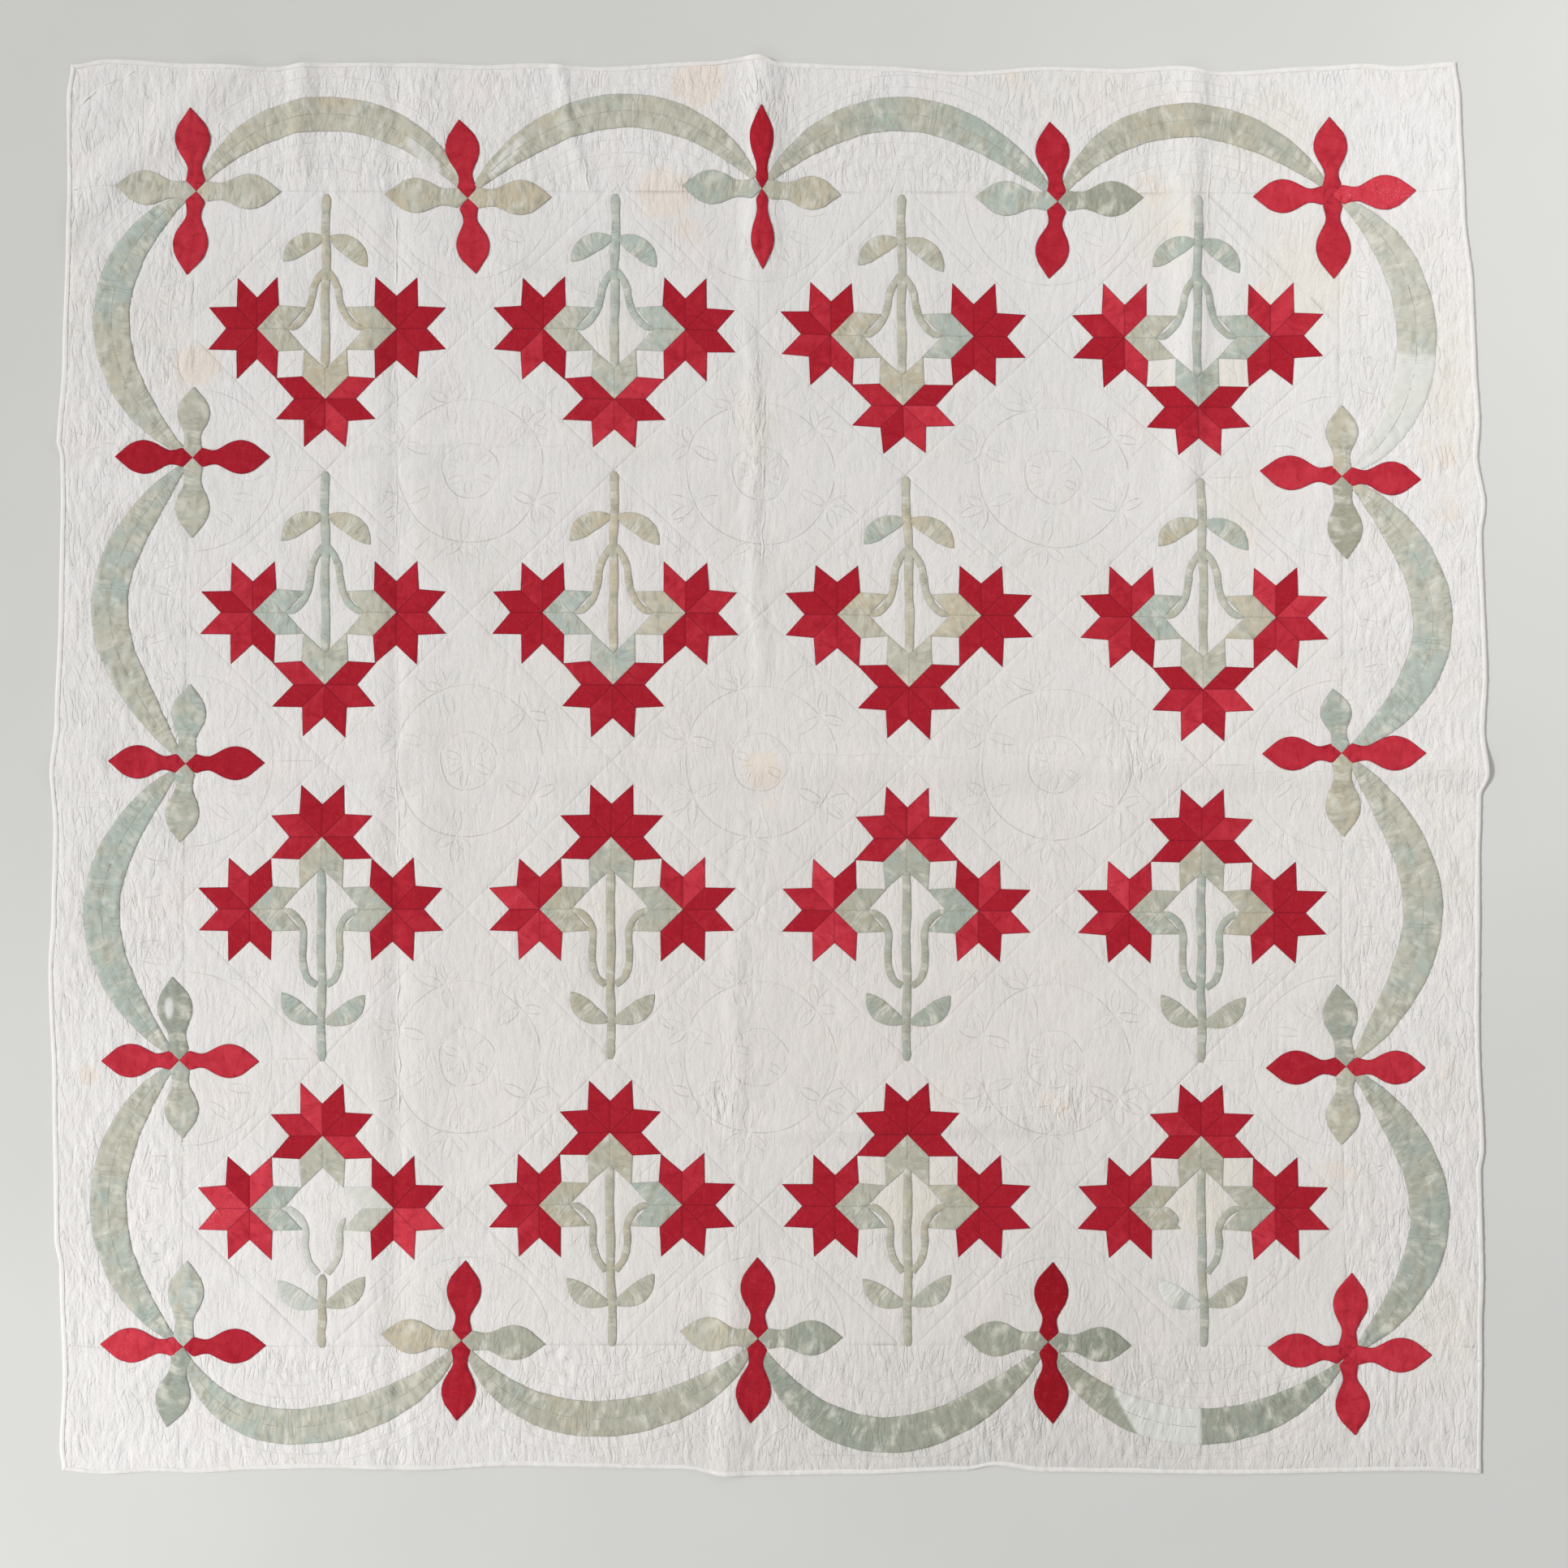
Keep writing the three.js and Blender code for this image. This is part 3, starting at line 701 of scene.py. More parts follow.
def plain_quilting(row, column):
    """A wreath in a plain block: an outer and an inner ring, and at each of six places on the
    outer one a spray of pointed leaves, with short lines from the seams in to the ring."""
    group = f"plain_{row + 1}{column + 1}_quilting"
    middle = plain_middle(row, column)
    rng = np.random.default_rng(20 + 3 * row + column)

    def at(points):
        """Real places of points given from the block's middle."""
        points = np.asarray(points, float) + middle
        return np.stack(real(points[:, 0], points[:, 1]), 1)

    for radius, count in ((110.0, 49), (42.0, 25)):
        turn = np.linspace(0, 2 * math.pi, count)
        wobble = radius + 1.4 * np.sin(3 * turn + row) + 1.1 * np.sin(5 * turn + column)
        quilted(group, at(np.stack([wobble * np.cos(turn), wobble * np.sin(turn)], 1)), 1.0, 4.8, 0.6, 0.22)
    for place in (108, 38, -30, -98, -153, 160):
        angle = math.radians(place + rng.uniform(-4, 4))
        root = 110 * np.array([math.cos(angle), math.sin(angle)])
        for bend, length, half in ((0, 44, 7), (0.95, 40, 6.5), (-0.95, 40, 6.5), (math.pi, 46, 7)):
            aim = angle + bend + rng.uniform(-0.14, 0.14)
            tip = root + length * rng.uniform(0.85, 1.1) * np.array([math.cos(aim), math.sin(aim)])
            if np.abs(tip).sum() > PITCH / 2 - 4:
                continue
            for side in lens(root, tip, half):
                quilted(group, at(side), rng.uniform(0.6, 1.1), 3.4, 0.25, 0.1)
        inner = 42 * np.array([math.cos(angle), math.sin(angle)])
        for side in lens(inner, inner * 0.25 + 3 * rng.uniform(-1, 1, 2), 5.5, 6):
            quilted(group, at(side), rng.uniform(0.5, 0.9), 3.4, 0.25, 0.1)
    for turn in range(4):
        angle = math.pi / 4 + turn * math.pi / 2
        u = np.array([math.cos(angle), math.sin(angle)])
        v = np.array([-u[1], u[0]])
        for along in (-58, -29, 0, 29, 58):
            far = u * (BLOCK / 2 - 2) + v * along
            near = u * (math.sqrt(112**2 - along**2) + 1) + v * along
            if rng.random() < 0.72:
                quilted(group, at([far, near]), rng.uniform(0.3, 0.75), 3.4, 0.25, 0.1)


def side_quilting():
    """Half wreaths in the side triangles: an arc and a spray of leaves that opens inwards."""
    for side in range(4):
        group = f"side_{side + 1}_quilting"
        c, s = math.cos(side * math.pi / 2), math.sin(side * math.pi / 2)
        for k in (-1, 0, 1):
            root = np.array([k * PITCH, FIELD - 6.0])
            rng = np.random.default_rng(60 + 4 * side + k)

            def at(points):
                """Real places of points given from the root of the half wreath."""
                points = np.asarray(points, float) + root
                x, y = real(points[:, 0] * c - points[:, 1] * s, points[:, 0] * s + points[:, 1] * c)
                return np.stack([x, y], 1)

            turn = np.linspace(math.pi, 2 * math.pi, 21)
            quilted(group, at(np.stack([124 * np.cos(turn), 124 * np.sin(turn)], 1)), 0.7, 4.4, 0.35, 0.18)
            for aim in (-2.7, -2.2, -1.8, -1.3, -0.9, -0.4):
                start = 66 * np.array([math.cos(aim), math.sin(aim)])
                tip = 108 * np.array([math.cos(aim + 0.2), math.sin(aim + 0.2)])
                for edge in lens(start, tip, 6.5):
                    quilted(group, at(edge), rng.uniform(0.5, 0.9), 3.4, 0.2, 0.1)
            quilted(group, at([(0, -128), (0, -190)]), 0.5, 3.4, 0.25, 0.12)


def stray(t, offsets):
    """How far a bow strays along its way t, through three offsets at its quarters: three sine
    waves of one, two and three halves a turn that pass through them."""
    first, second, third = offsets
    ends = (first + third) / math.sqrt(2)
    one, two, three = (ends + second) / 2, (first - third) / 2, (ends - second) / 2
    return one * np.sin(np.pi * t) + two * np.sin(2 * np.pi * t) + three * np.sin(3 * np.pi * t)


def outwards(path):
    """Unit vectors across a path, to the side that faces away from the quilt's middle."""
    left = sideways(path)
    half_way = len(path) // 2
    return left * np.sign(left[half_way] @ path[half_way])


def swag_path(swag):
    """Middle line of a swag: an arc from cross to cross that strays a little."""
    start, end, rise, offsets = swag[:4]
    arc = arc_between(np.array(CROSSES[start][0]) + SHIFT, np.array(CROSSES[end][0]) + SHIFT, rise)
    t = np.linspace(0, 1, len(arc))
    return evenly(arc + stray(t, offsets)[:, None] * outwards(arc), 4.0)


def swag_half(path, full):
    """Half width of a swag along its path: narrow where it tucks under a cross, full between."""
    t = np.linspace(0, 1, len(path))
    shares = np.interp(np.minimum(t, 1 - t), [0, 0.04, 0.08, 0.12, 0.2, 0.3, 0.4, 0.5],
                       [0.05, 0.2, 0.37, 0.53, 0.76, 0.92, 0.985, 1.0])
    return full * shares * (1 + 0.015 * np.sin(t * 31) + 0.01 * np.sin(t * 67))


def border_quilting():
    """Quilting of the border: a line along each swag's own middle, a few that echo the swag on
    both sides of it, and pointed leaves that stand on the field's seam inside its bow."""
    for k, swag in enumerate(SWAGS):
        path = swag_path(swag)
        away = outwards(path)
        half = swag_half(path, SWAG_HALVES[k // 4])[:, None]
        rng = np.random.default_rng(140 + k)
        trim = slice(int(len(path) * 0.07), int(len(path) * 0.93))
        group = f"border_{1 + k // 4}_quilting"
        press(path[trim], 3.4, 0.5, 0.42, 30.0, seed=90 + k)
        for side, gaps in ((-1, (17, 36, 55)), (1, (15, 31))):
            for n, gap in enumerate(gaps):
                from_end = 0.14 + 0.05 * n
                part = slice(int(len(path) * from_end), int(len(path) * (1 - from_end)))
                wobble = 1.5 * np.sin(np.linspace(0, 9, len(path)) + k + n)[:, None]
                echo = (path + away * side * (half + gap + wobble))[part]
                inner = np.abs(echo).max(1) < EDGE - 14
                if inner.sum() > 8:
                    quilted(group, echo[inner][::3], rng.uniform(0.15, 0.5), 3.6, 0.3, 0.22)
        start, end = path[0], path[-1]
        reach = end - start
        up = away[len(path) // 2]
        for share in (0.3, 0.42, 0.55, 0.68):
            root = start + (share + rng.uniform(-0.03, 0.03)) * reach + up * rng.uniform(12, 26)
            aim = up + rng.uniform(-0.5, 0.5) * reach / math.hypot(*reach)
            for edge in lens(root, root + rng.uniform(34, 48) * aim, rng.uniform(4.5, 7)):
                quilted(group, edge, rng.uniform(0.5, 1.0), 3.4, 0.3, 0.14)


# x0, y0, x1, y1, depth, width: sharp creases where the quilt was folded or has rucked up
CREASES = [
    (-547, 1045, -549, 560, 2.6, 6), (-549, 560, -546, 30, 2.4, 5.5), (-546, 30, -545, -520, 2.4, 5),
    (-545, -520, -546, -1040, 1.6, 5), (-6, 554, -9, 291, 1.8, 6), (-4, 1000, -10, 700, 0.9, 8),
    (-600, 469, -250, 470, 1.0, 4), (-1036, 16, -958, 14, 2.2, 5), (-1030, -38, -950, -44, 1.6, 5),
    (-1030, -62, -962, -58, 1.0, 5), (-329, 1037, -300, 985, 2.4, 4), (-300, 985, -272, 902, 2.6, 4),
    (-272, 902, -264, 842, 2.0, 4), (-415, 748, -330, 712, 2.0, 4), (-330, 712, -236, 686, 1.4, 5),
    (-1026, 964, -985, 1000, 3.2, 8), (-985, 1000, -950, 1012, 3.0, 7), (-950, 1012, -921, 1032, 2.6, 6),
    (-1039, -685, -1018, -738, 2.6, 6), (-1030, -680, -990, -770, 2.4, 6), (-985, -700, -962, -735, 1.6, 5),
    (-655, 1046, -650, 990, 1.6, 5), (420, -498, 436, -535, 2.2, 3.5),
    (436, -535, 436, -556, 1.6, 3.5), (508, -476, 540, -520, 1.8, 4), (540, -520, 574, -544, 1.8, 4),
    (250, -490, 300, -502, 1.4, 5), (300, -502, 420, -500, 1.2, 6), (330, -588, 470, -586, 1.4, 8),
    (-52, -420, -58, -700, 1.2, 6), (-70, -800, -90, -1040, 1.4, 7), (20, 20, 300, 12, 1.0, 6),
    (330, 18, 620, 8, 1.2, 6), (470, 60, 520, -20, 1.6, 4), (560, 90, 545, -40, 1.4, 5),
    (640, 700, 655, 980, 1.2, 6), (618, 900, 610, 1010, 1.0, 6), (900, -560, 1010, -600, 1.0, 7),
    (-740, -200, -560, -232, 0.8, 6), (-40, 30, -420, 22, 0.9, 6), (60, -540, 240, -548, 1.3, 7),
    (700, -10, 1010, -6, 1.4, 7), (-560, 1000, -440, 1012, 0.7, 5), (230, 20, 180, -90, 0.9, 4),
    (880, 210, 1030, 120, 1.0, 8), (-20, -1010, 40, -960, 1.2, 6), (-130, -930, -80, -1030, 1.2, 6),
]


def crease(x0, y0, x1, y1, depth, width):
    """A crease that wavers a little on its way: pressed softly now, and drawn sharply later."""
    rng = np.random.default_rng(abs(int(x0 * 7 + y0 * 3)))
    path = evenly([(x0, y0), (x1, y1)], 14)
    path[1:-1] += rng.normal(0, 1.3, (len(path) - 2, 2))
    path = curve_through(path, 6.0) + SHIFT
    press(path, width, 0.3 * depth, 0.0)
    press(path + (width * 1.5, 0), width * 1.3, -0.15 * depth, 0.0)
    stitching.setdefault("creases", []).append((path, 0.72 * depth))


def stray_creases():
    """Small creases all over the quilt, as rows for crease(): most in the border, where they run
    up it or slant, and along the fold down the middle; a few in the field; many where it has
    rucked up."""
    rng = np.random.default_rng(77)

    def one(x, y, lean, half, strength):
        """A row for a crease through (x, y) that leans so far from upright."""
        dx, dy = half * math.sin(lean), half * math.cos(lean)
        return x - dx, y - dy, x + dx, y + dy, strength, rng.uniform(3.5, 6.0)

    for place, count in (("border", 230), ("fold", 36), ("field", 110)):
        for _ in range(count):
            x, y = rng.uniform(-EDGE + 20, EDGE - 20, 2)
            if place == "border":
                near, side = rng.uniform(FIELD + 4, EDGE - 22), rng.choice((-1, 1))
                x, y = (side * near, y) if rng.random() < 0.5 else (x, side * near)
            elif place == "fold":
                x = -30 + 0.02 * y + rng.normal(0, 20)
            lean = rng.normal(0, 0.35) if rng.random() < 0.88 else rng.normal(math.pi / 2, 0.3)
            strength = rng.uniform(0.5, 1.6) * (0.7 if place == "field" else 1.0)
            yield one(x, y, lean, rng.uniform(9, 34), strength)
    for x, y, reach_x, reach_y, count, lean, sway, depth in CRUMPLED:
        for _ in range(count):
            spot = rng.normal(x, 0.6 * reach_x), rng.normal(y, 0.6 * reach_y)
            angle = math.radians(lean + rng.normal(0, sway))
            yield one(*spot, angle, rng.uniform(6, 22), depth * rng.uniform(0.6, 1.2))


block_seams()
for row, column in LILIES:
    lily_quilting(row, column)
for row, column in PLAINS:
    plain_quilting(row, column)
side_quilting()
border_quilting()
for line in (*CREASES, *stray_creases()):
    crease(*line)


def petal_strip(middle, tip, profile, wider=0.0):
    """Middle line and half widths of a bud petal: a smooth profile drawn out to the petal's own
    length, that comes to a point at the middle of its cross."""
    middle, tip = np.array(middle) + SHIFT, np.array(tip, float)
    path = evenly([middle, middle + tip], 4.0)
    shape = curve_through(profile, 2.0)
    reach = np.linspace(0, shape[-1, 0], len(path))
    half = np.interp(reach, shape[:, 0], shape[:, 1])
    half = half + wider * np.exp(-(((reach - 33) / 14) ** 2))
    foot = np.minimum(1.0, (reach + 0.6) / 14.5)
    return path, np.maximum(half * foot * (0.5 + 0.5 * math.hypot(*tip) / 122.0), 0.35)


PETAL = [(0, 13.8), (9, 14.2), (15.5, 14.4), (20, 13.4), (26, 11.6), (33, 10.6), (39, 11.4), (46, 14.6),
         (54, 19.0), (62, 22.8), (72, 25.3), (80, 25.4), (89, 23.4), (98, 19.4), (109, 11.0), (122, 0.4)]
PINCHED = [(0, 8), (16, 9), (30, 8.0), (42, 10), (60, 15.5), (76, 17.5), (90, 15.5), (104, 9.5), (122, 0.4)]
RED_PETALS = {"upright": (0, 2), "pinched": (0, 2), "level": (1, 3), "red": (0, 1, 2, 3)}


def cross_petals(name):
    """Each petal of a cross: its dye, how worn or hue and depth, its middle line and half widths."""
    middle, plan, petals = CROSSES[name]
    for k, (x, y, *dye) in enumerate(petals):
        is_red = k in RED_PETALS[plan]
        profile = PINCHED if plan == "pinched" and is_red else PETAL
        yield dye, *petal_strip(middle, (x, y), profile, 0.0 if is_red else 1.8)


def lily_strips(row, column):
    """The green strips of a lily, from the main stem over the side stems to the leaves: a middle
    line, half widths, lowest and highest rise, hue and fade of each."""
    hues = LILY_HUES[row][column]
    worn = row == 3 and column == 0
    torn = row == 3 and column == 3
    _, stem_end, leaf_at, left_tip, right_tip, branch = LILY_ROWS[row]
    wobble = np.array([0, 1.2, -0.8, 0.9, -0.6, 0.4])
    stops = np.linspace(-stem_end, -97.0 if worn else 59.0, 6)
    stem = curve_through(np.stack([wobble * (1 if column % 2 else -1), stops], 1), 4.0)
    along = np.linspace(0, 1, len(stem))
    half = 6.0 + 0.35 * np.sin(along * 23 + column) + 0.25 * np.sin(along * 41 + row)
    half[:2] = (2.6, 5.0)
    half[-2:] = (4.2, 1.6)
    fade = np.where(stem[:, 1] < -160, 0.35, 0.0) * (row == 0 and column == 3)
    hue = np.where(stem[:, 1] < -135, -0.7, 0.2) if worn else np.full(len(stem), hues[0])
    yield lily_point(row, column, stem), half, 0.2, 0.62, hue, fade
    for side in (-1, 1):
        points = [(side * x, y) for x, y in branch]
        fade = 0.55 if worn and side < 0 else 0.0
        if worn and side > 0:
            points, fade = points[:5], 0.35
        if torn and side < 0:
            points = [(-44, -28), (-38, -17), (-50, -4), (-59, 0)]
        path = curve_through(points, 4.0)
        half = 4.9 + 0.25 * np.sin(np.arange(len(path)) * 0.9 + column)
        half[-3:] = (4.0, 2.6, 1.0)
        hue = 1.3 if worn and side < 0 else hues[0]
        yield lily_point(row, column, path), half, 0.22, 0.6, hue, fade
    for side, tip, hue in ((-1, left_tip, hues[1]), (1, right_tip, hues[2])):
        fade = 0.5 * worn * (side < 0)
        hue = 1.4 if (worn or torn) and side < 0 else hue
        root, tip = np.array((side * 5.0, -leaf_at)), np.array(tip, float)
        ahead = tip - root
        bow = np.array([-ahead[1], ahead[0]]) * (0.11 if ahead[0] > 0 else -0.11)
        path = curve_through([root, root + 0.5 * ahead - bow, tip], 4.0)
        t = np.linspace(0, 1, len(path))
        half = np.interp(t, [0, 0.12, 0.3, 0.5, 0.7, 0.86, 0.95, 1], [3, 8.5, 13.4, 15.2, 13.4, 8.4, 3.6, 0.3])
        half = half * (1 + 0.03 * np.sin(9 * t + row))
        if torn and side < 0:
            fade = 0.95 - 0.75 * np.exp(-(((t - 0.36) / 0.13) ** 2))
        yield lily_point(row, column, path), half, 0.15, 0.5, hue, fade


# The ground puckers and sinks a little along every patch's outline
for k, swag in enumerate(SWAGS):
    path = swag_path(swag)[5:-5]
    press(outline_of(path, swag_half(swag_path(swag), SWAG_HALVES[k // 4])[5:-5] + 1.5), 3.2, 0.4, 0.3, 14.0, seed=k)
for k, name in enumerate(CROSSES):
    for _, path, half in cross_petals(name):
        press(outline_of(path, half + 1.5), 3.0, 0.35, 0.2, 10.0, seed=40 + k)
for row, column in LILIES:
    for path, half, *_ in lily_strips(row, column):
        press(outline_of(path, half + 1.2), 3.0, 0.35, 0.14, 9.0, seed=4 * row + column)

relief = MOST_RELIEF * np.tanh(relief / MOST_RELIEF)


# ---- Finishes ----


def linear(red, green, blue):
    """A colour as the eye grades it, 0 to 255, turned into light."""
    parts = np.array([red, green, blue]) / 255.0
    parts = np.where(parts <= 0.04045, parts / 12.92, ((parts + 0.055) / 1.055) ** 2.4)
    return (*[float(p) for p in parts], 1.0)


class Finish:
    """A material while it is being wired. Inputs are numbers, colours or other nodes' outputs."""

    def __init__(self, name, roughness, sheen):
        self.material = bpy.data.materials.new(name)
        self.material.use_nodes = True
        self.tree = self.material.node_tree
        self.shader = self.tree.nodes["Principled BSDF"]
        self.shader.inputs["Roughness"].default_value = roughness
        self.shader.inputs["Sheen Weight"].default_value = sheen
        self.shader.inputs["Sheen Roughness"].default_value = 0.6
        self.shader.inputs["Specular IOR Level"].default_value = 0.2
        place = self.tree.nodes.new("ShaderNodeTexCoord")
        self.place = place.outputs["Object"]
        self.cloth = place.outputs["UV"]

    def join(self, socket, value):
        """Links a socket to another node's output, or sets it to a number or colour."""
        if isinstance(value, bpy.types.NodeSocket):
            self.tree.links.new(value, socket)
        else:
            socket.default_value = value

    def value(self, name):
        """What the cloth carries under a name at each of its points."""
        node = self.tree.nodes.new("ShaderNodeAttribute")
        node.attribute_name = name
        return node.outputs["Fac"]

    def math(self, operation, first, second=0.0, clamp=False):
        """One sum on two numbers."""
        node = self.tree.nodes.new("ShaderNodeMath")
        node.operation = operation
        node.use_clamp = clamp
        self.join(node.inputs[0], first)
        self.join(node.inputs[1], second)
        return node.outputs[0]

    def times(self, first, second):
        """The product of two numbers."""
        return self.math("MULTIPLY", first, second)

    def mix(self, share, first, second):
        """From the first colour to the second by a share."""
        node = self.tree.nodes.new("ShaderNodeMix")
        node.data_type = "RGBA"
        self.join(node.inputs["Factor"], share)
        self.join(node.inputs[6], first)
        self.join(node.inputs[7], second)
        return node.outputs[2]

    def noise(self, vector, scale, detail=2.0, rough=0.5, twist=0.0):
        """Soft blotches, about 0.5 on the whole."""
        node = self.tree.nodes.new("ShaderNodeTexNoise")
        self.join(node.inputs["Vector"], vector)
        node.inputs["Scale"].default_value = scale
        node.inputs["Detail"].default_value = detail
        node.inputs["Roughness"].default_value = rough
        node.inputs["Distortion"].default_value = twist
        return node.outputs["Fac"]

    def stretched(self, vector, across, along, turn=0.0):
        """A place turned and scaled, so that what follows it is drawn out one way."""
        node = self.tree.nodes.new("ShaderNodeMapping")
        self.join(node.inputs["Vector"], vector)
        node.inputs["Scale"].default_value = (across, along, 1.0)
        node.inputs["Rotation"].default_value = (0, 0, turn)
        return node.outputs[0]

    def band(self, value, low, high):
        """Eased from 0 at low to 1 at high."""
        node = self.tree.nodes.new("ShaderNodeMapRange")
        node.interpolation_type = "SMOOTHSTEP"
        self.join(node.inputs["Value"], value)
        node.inputs["From Min"].default_value = low
        node.inputs["From Max"].default_value = high
        return node.outputs[0]

    def threads(self, pitch):
        """Plain weave: two sets of threads, one over the other by turns."""
        parts = []
        for way in ("X", "Y"):
            node = self.tree.nodes.new("ShaderNodeTexWave")
            node.bands_direction = way
            self.join(node.inputs["Vector"], self.cloth)
            node.inputs["Scale"].default_value = math.pi / (10 * pitch * MM)
            node.inputs["Distortion"].default_value = 1.2
            node.inputs["Detail"].default_value = 1.0
            parts.append(node.outputs["Fac"])
        return self.math("MAXIMUM", *parts)

    def warped(self, vector, scale, amount):
        """A place pushed about by slow noise, so that what follows it bends and wanders."""
        slow = self.tree.nodes.new("ShaderNodeTexNoise")
        self.join(slow.inputs["Vector"], vector)
        slow.inputs["Scale"].default_value = scale
        slow.inputs["Detail"].default_value = 0.0
        node = self.tree.nodes.new("ShaderNodeVectorMath")
        node.operation = "MULTIPLY_ADD"
        self.join(node.inputs[0], slow.outputs["Color"])
        node.inputs[1].default_value = (amount, amount, 0.0)
        self.join(node.inputs[2], vector)
        return node.outputs[0]

    def creased(self, vector, across, along, turn=0.0, detail=0.0):
        """Puffs between sharp valleys: stretched noise folded at its own mean, 0 in a valley."""
        wave = self.noise(self.stretched(vector, across, along, turn), 1.0, detail)
        return self.math("ABSOLUTE", self.math("SUBTRACT", wave, 0.5))

    def total(self, *parts):
        """Sum of heights, each given with its share."""
        height = self.times(*parts[0])
        for part in parts[1:]:
            height = self.math("ADD", height, self.times(*part))
        return height

    def done(self, colour, height):
        """Wires the colour and a height in millimetres, with the weave over it."""
        weave = self.times(self.threads(THREAD_PITCH), 0.035)
        height = self.math("ADD", height, weave)
        bump = self.tree.nodes.new("ShaderNodeBump")
        bump.inputs["Strength"].default_value = 1.0
        bump.inputs["Distance"].default_value = MM
        self.join(bump.inputs["Height"], height)
        self.join(self.shader.inputs["Base Color"], colour)
        self.join(self.shader.inputs["Normal"], bump.outputs[0])
        return self.material


WHITE = linear(226, 224, 223)


def quilted_cotton():
    """Old off-white cotton: greyer, rosier or yellower from place to place, with beige stains, painted shade down in
    the seams, along quilted lines and creases and in the valleys between small puffs, finely creased up and down the
    quilt and crinkled all over."""
    f = Finish("quilted_cotton", 0.92, 0.06)
    soil = f.noise(f.place, 5.0, 4.0, 0.6, 0.3)
    colour = f.mix(f.band(soil, 0.35, 0.75), WHITE, linear(221, 219, 216))
    # darker and warmer in soft spots, and greyer in others
    colour = f.mix(f.times(f.value("darkened"), 0.55), colour, linear(211, 204, 197))
    colour = f.mix(f.value("dull"), colour, linear(200, 199, 197))
    blush = f.noise(f.place, 13.0, 2.0, 0.6, 0.5)
    colour = f.mix(f.times(f.band(blush, 0.52, 0.72), 0.35), colour, linear(228, 218, 215))
    patchy = f.noise(f.place, 34.0, 3.0, 0.6, 0.2)
    colour = f.mix(f.times(f.band(patchy, 0.5, 0.8), 0.35), colour, linear(212, 215, 214))
    flat = f.times(f.math("SUBTRACT", patchy, 0.5), 0.9)
    creamy = f.times(f.band(f.math("ADD", f.value("cream"), flat), 0.1, 0.9), 0.42)
    colour = f.mix(creamy, colour, linear(219, 212, 194))
    slub = f.noise(f.stretched(f.place, 420.0, 210.0), 1.0, 1.0)
    colour = f.mix(f.times(f.band(slub, 0.50, 0.78), 0.34), colour, linear(198, 195, 188))
    stained = f.times(f.band(f.math("ADD", f.value("stain"), flat), 0.45, 0.80), 0.5)
    colour = f.mix(stained, colour, linear(226, 210, 194))
    # painted shade: the edge value darkens the cotton in a seam's roll, along the bottom of quilted lines and at the
    # foot of creases
    colour = f.mix(f.times(f.value("edge"), 0.55), colour, linear(146, 140, 130))
    gather = f.value("gather")
    bent = f.warped(f.place, 15.0, 0.012)
    puffs = f.creased(bent, 84.0, 21.0, 0.1, 1.0)
    slant = f.creased(bent, 72.0, 24.0, 0.85)
    level = f.creased(bent, 76.0, 24.0, 1.62)
    small = f.creased(bent, 190.0, 110.0, 2.3)
    fine = f.noise(f.stretched(f.place, 340.0, 170.0), 1.0, 0.0)
    where = f.band(f.noise(f.place, 21.0, 1.0), 0.44, 0.60)
    # painted shade in the valleys between the small puffs, more where the cloth is gathered
    valley = f.times(f.band(puffs, 0.045, 0.0), where)
    colour = f.mix(f.times(f.times(valley, gather), 0.10), colour, linear(160, 157, 151))
    height = f.total((puffs, 1.35), (slant, 1.15), (level, 1.1), (small, 0.7), (fine, 0.26), (valley, -0.32))
    return f.done(colour, f.times(height, gather))


def red_cotton():
    """Turkey red cotton: deep and even where it has kept its dye, rubbed rosy with white threads
    showing where it hasn't, and painted nearly black-red along its rim and seams, as painted shade of the turned
    edges."""
    f = Finish("red_cotton", 0.9, 0.02)
    f.shader.inputs["Specular IOR Level"].default_value = 0.08
    tone = f.value("tone")
    blotch = f.noise(f.place, 42.0, 4.0, 0.65, 0.3)
    rub = f.math("ADD", tone, f.times(f.math("SUBTRACT", blotch, 0.5), 0.9), True)
    colour = f.mix(f.band(rub, 0.05, 1.0), linear(163, 28, 43), linear(203, 60, 74))
    colour = f.mix(f.band(tone, -0.2, -1.2), colour, linear(138, 14, 26))
    grid = f.noise(f.stretched(f.cloth, 70.0, 420.0), 1.0, 2.0)
    cross = f.noise(f.stretched(f.cloth, 420.0, 70.0), 1.0, 2.0)
    streak = f.times(f.band(f.math("MAXIMUM", grid, cross), 0.55, 0.8), 0.35)
    colour = f.mix(streak, colour, linear(206, 66, 80))
    dim = f.noise(f.stretched(f.cloth, 130.0, 40.0), 1.0, 2.0)
    colour = f.mix(f.times(f.band(dim, 0.52, 0.75), 0.4), colour, linear(134, 12, 30))
    speck = f.noise(f.place, 560.0, 1.0, 0.6)
    worn = f.times(f.band(speck, 0.60, 0.72), f.band(rub, 0.60, 1.1))
    colour = f.mix(f.times(worn, 0.6), colour, linear(228, 160, 164))
    # painted shade: the edge value darkens the rim of every red patch and the seams between its diamonds
    colour = f.mix(f.times(f.value("edge"), 0.55), colour, linear(92, 14, 30))
    bent = f.warped(f.place, 20.0, 0.02)
    puffs = f.creased(bent, 88.0, 34.0)
    small = f.creased(bent, 200.0, 110.0, 0.5)
    return f.done(colour, f.total((puffs, 0.9), (small, 0.40)))


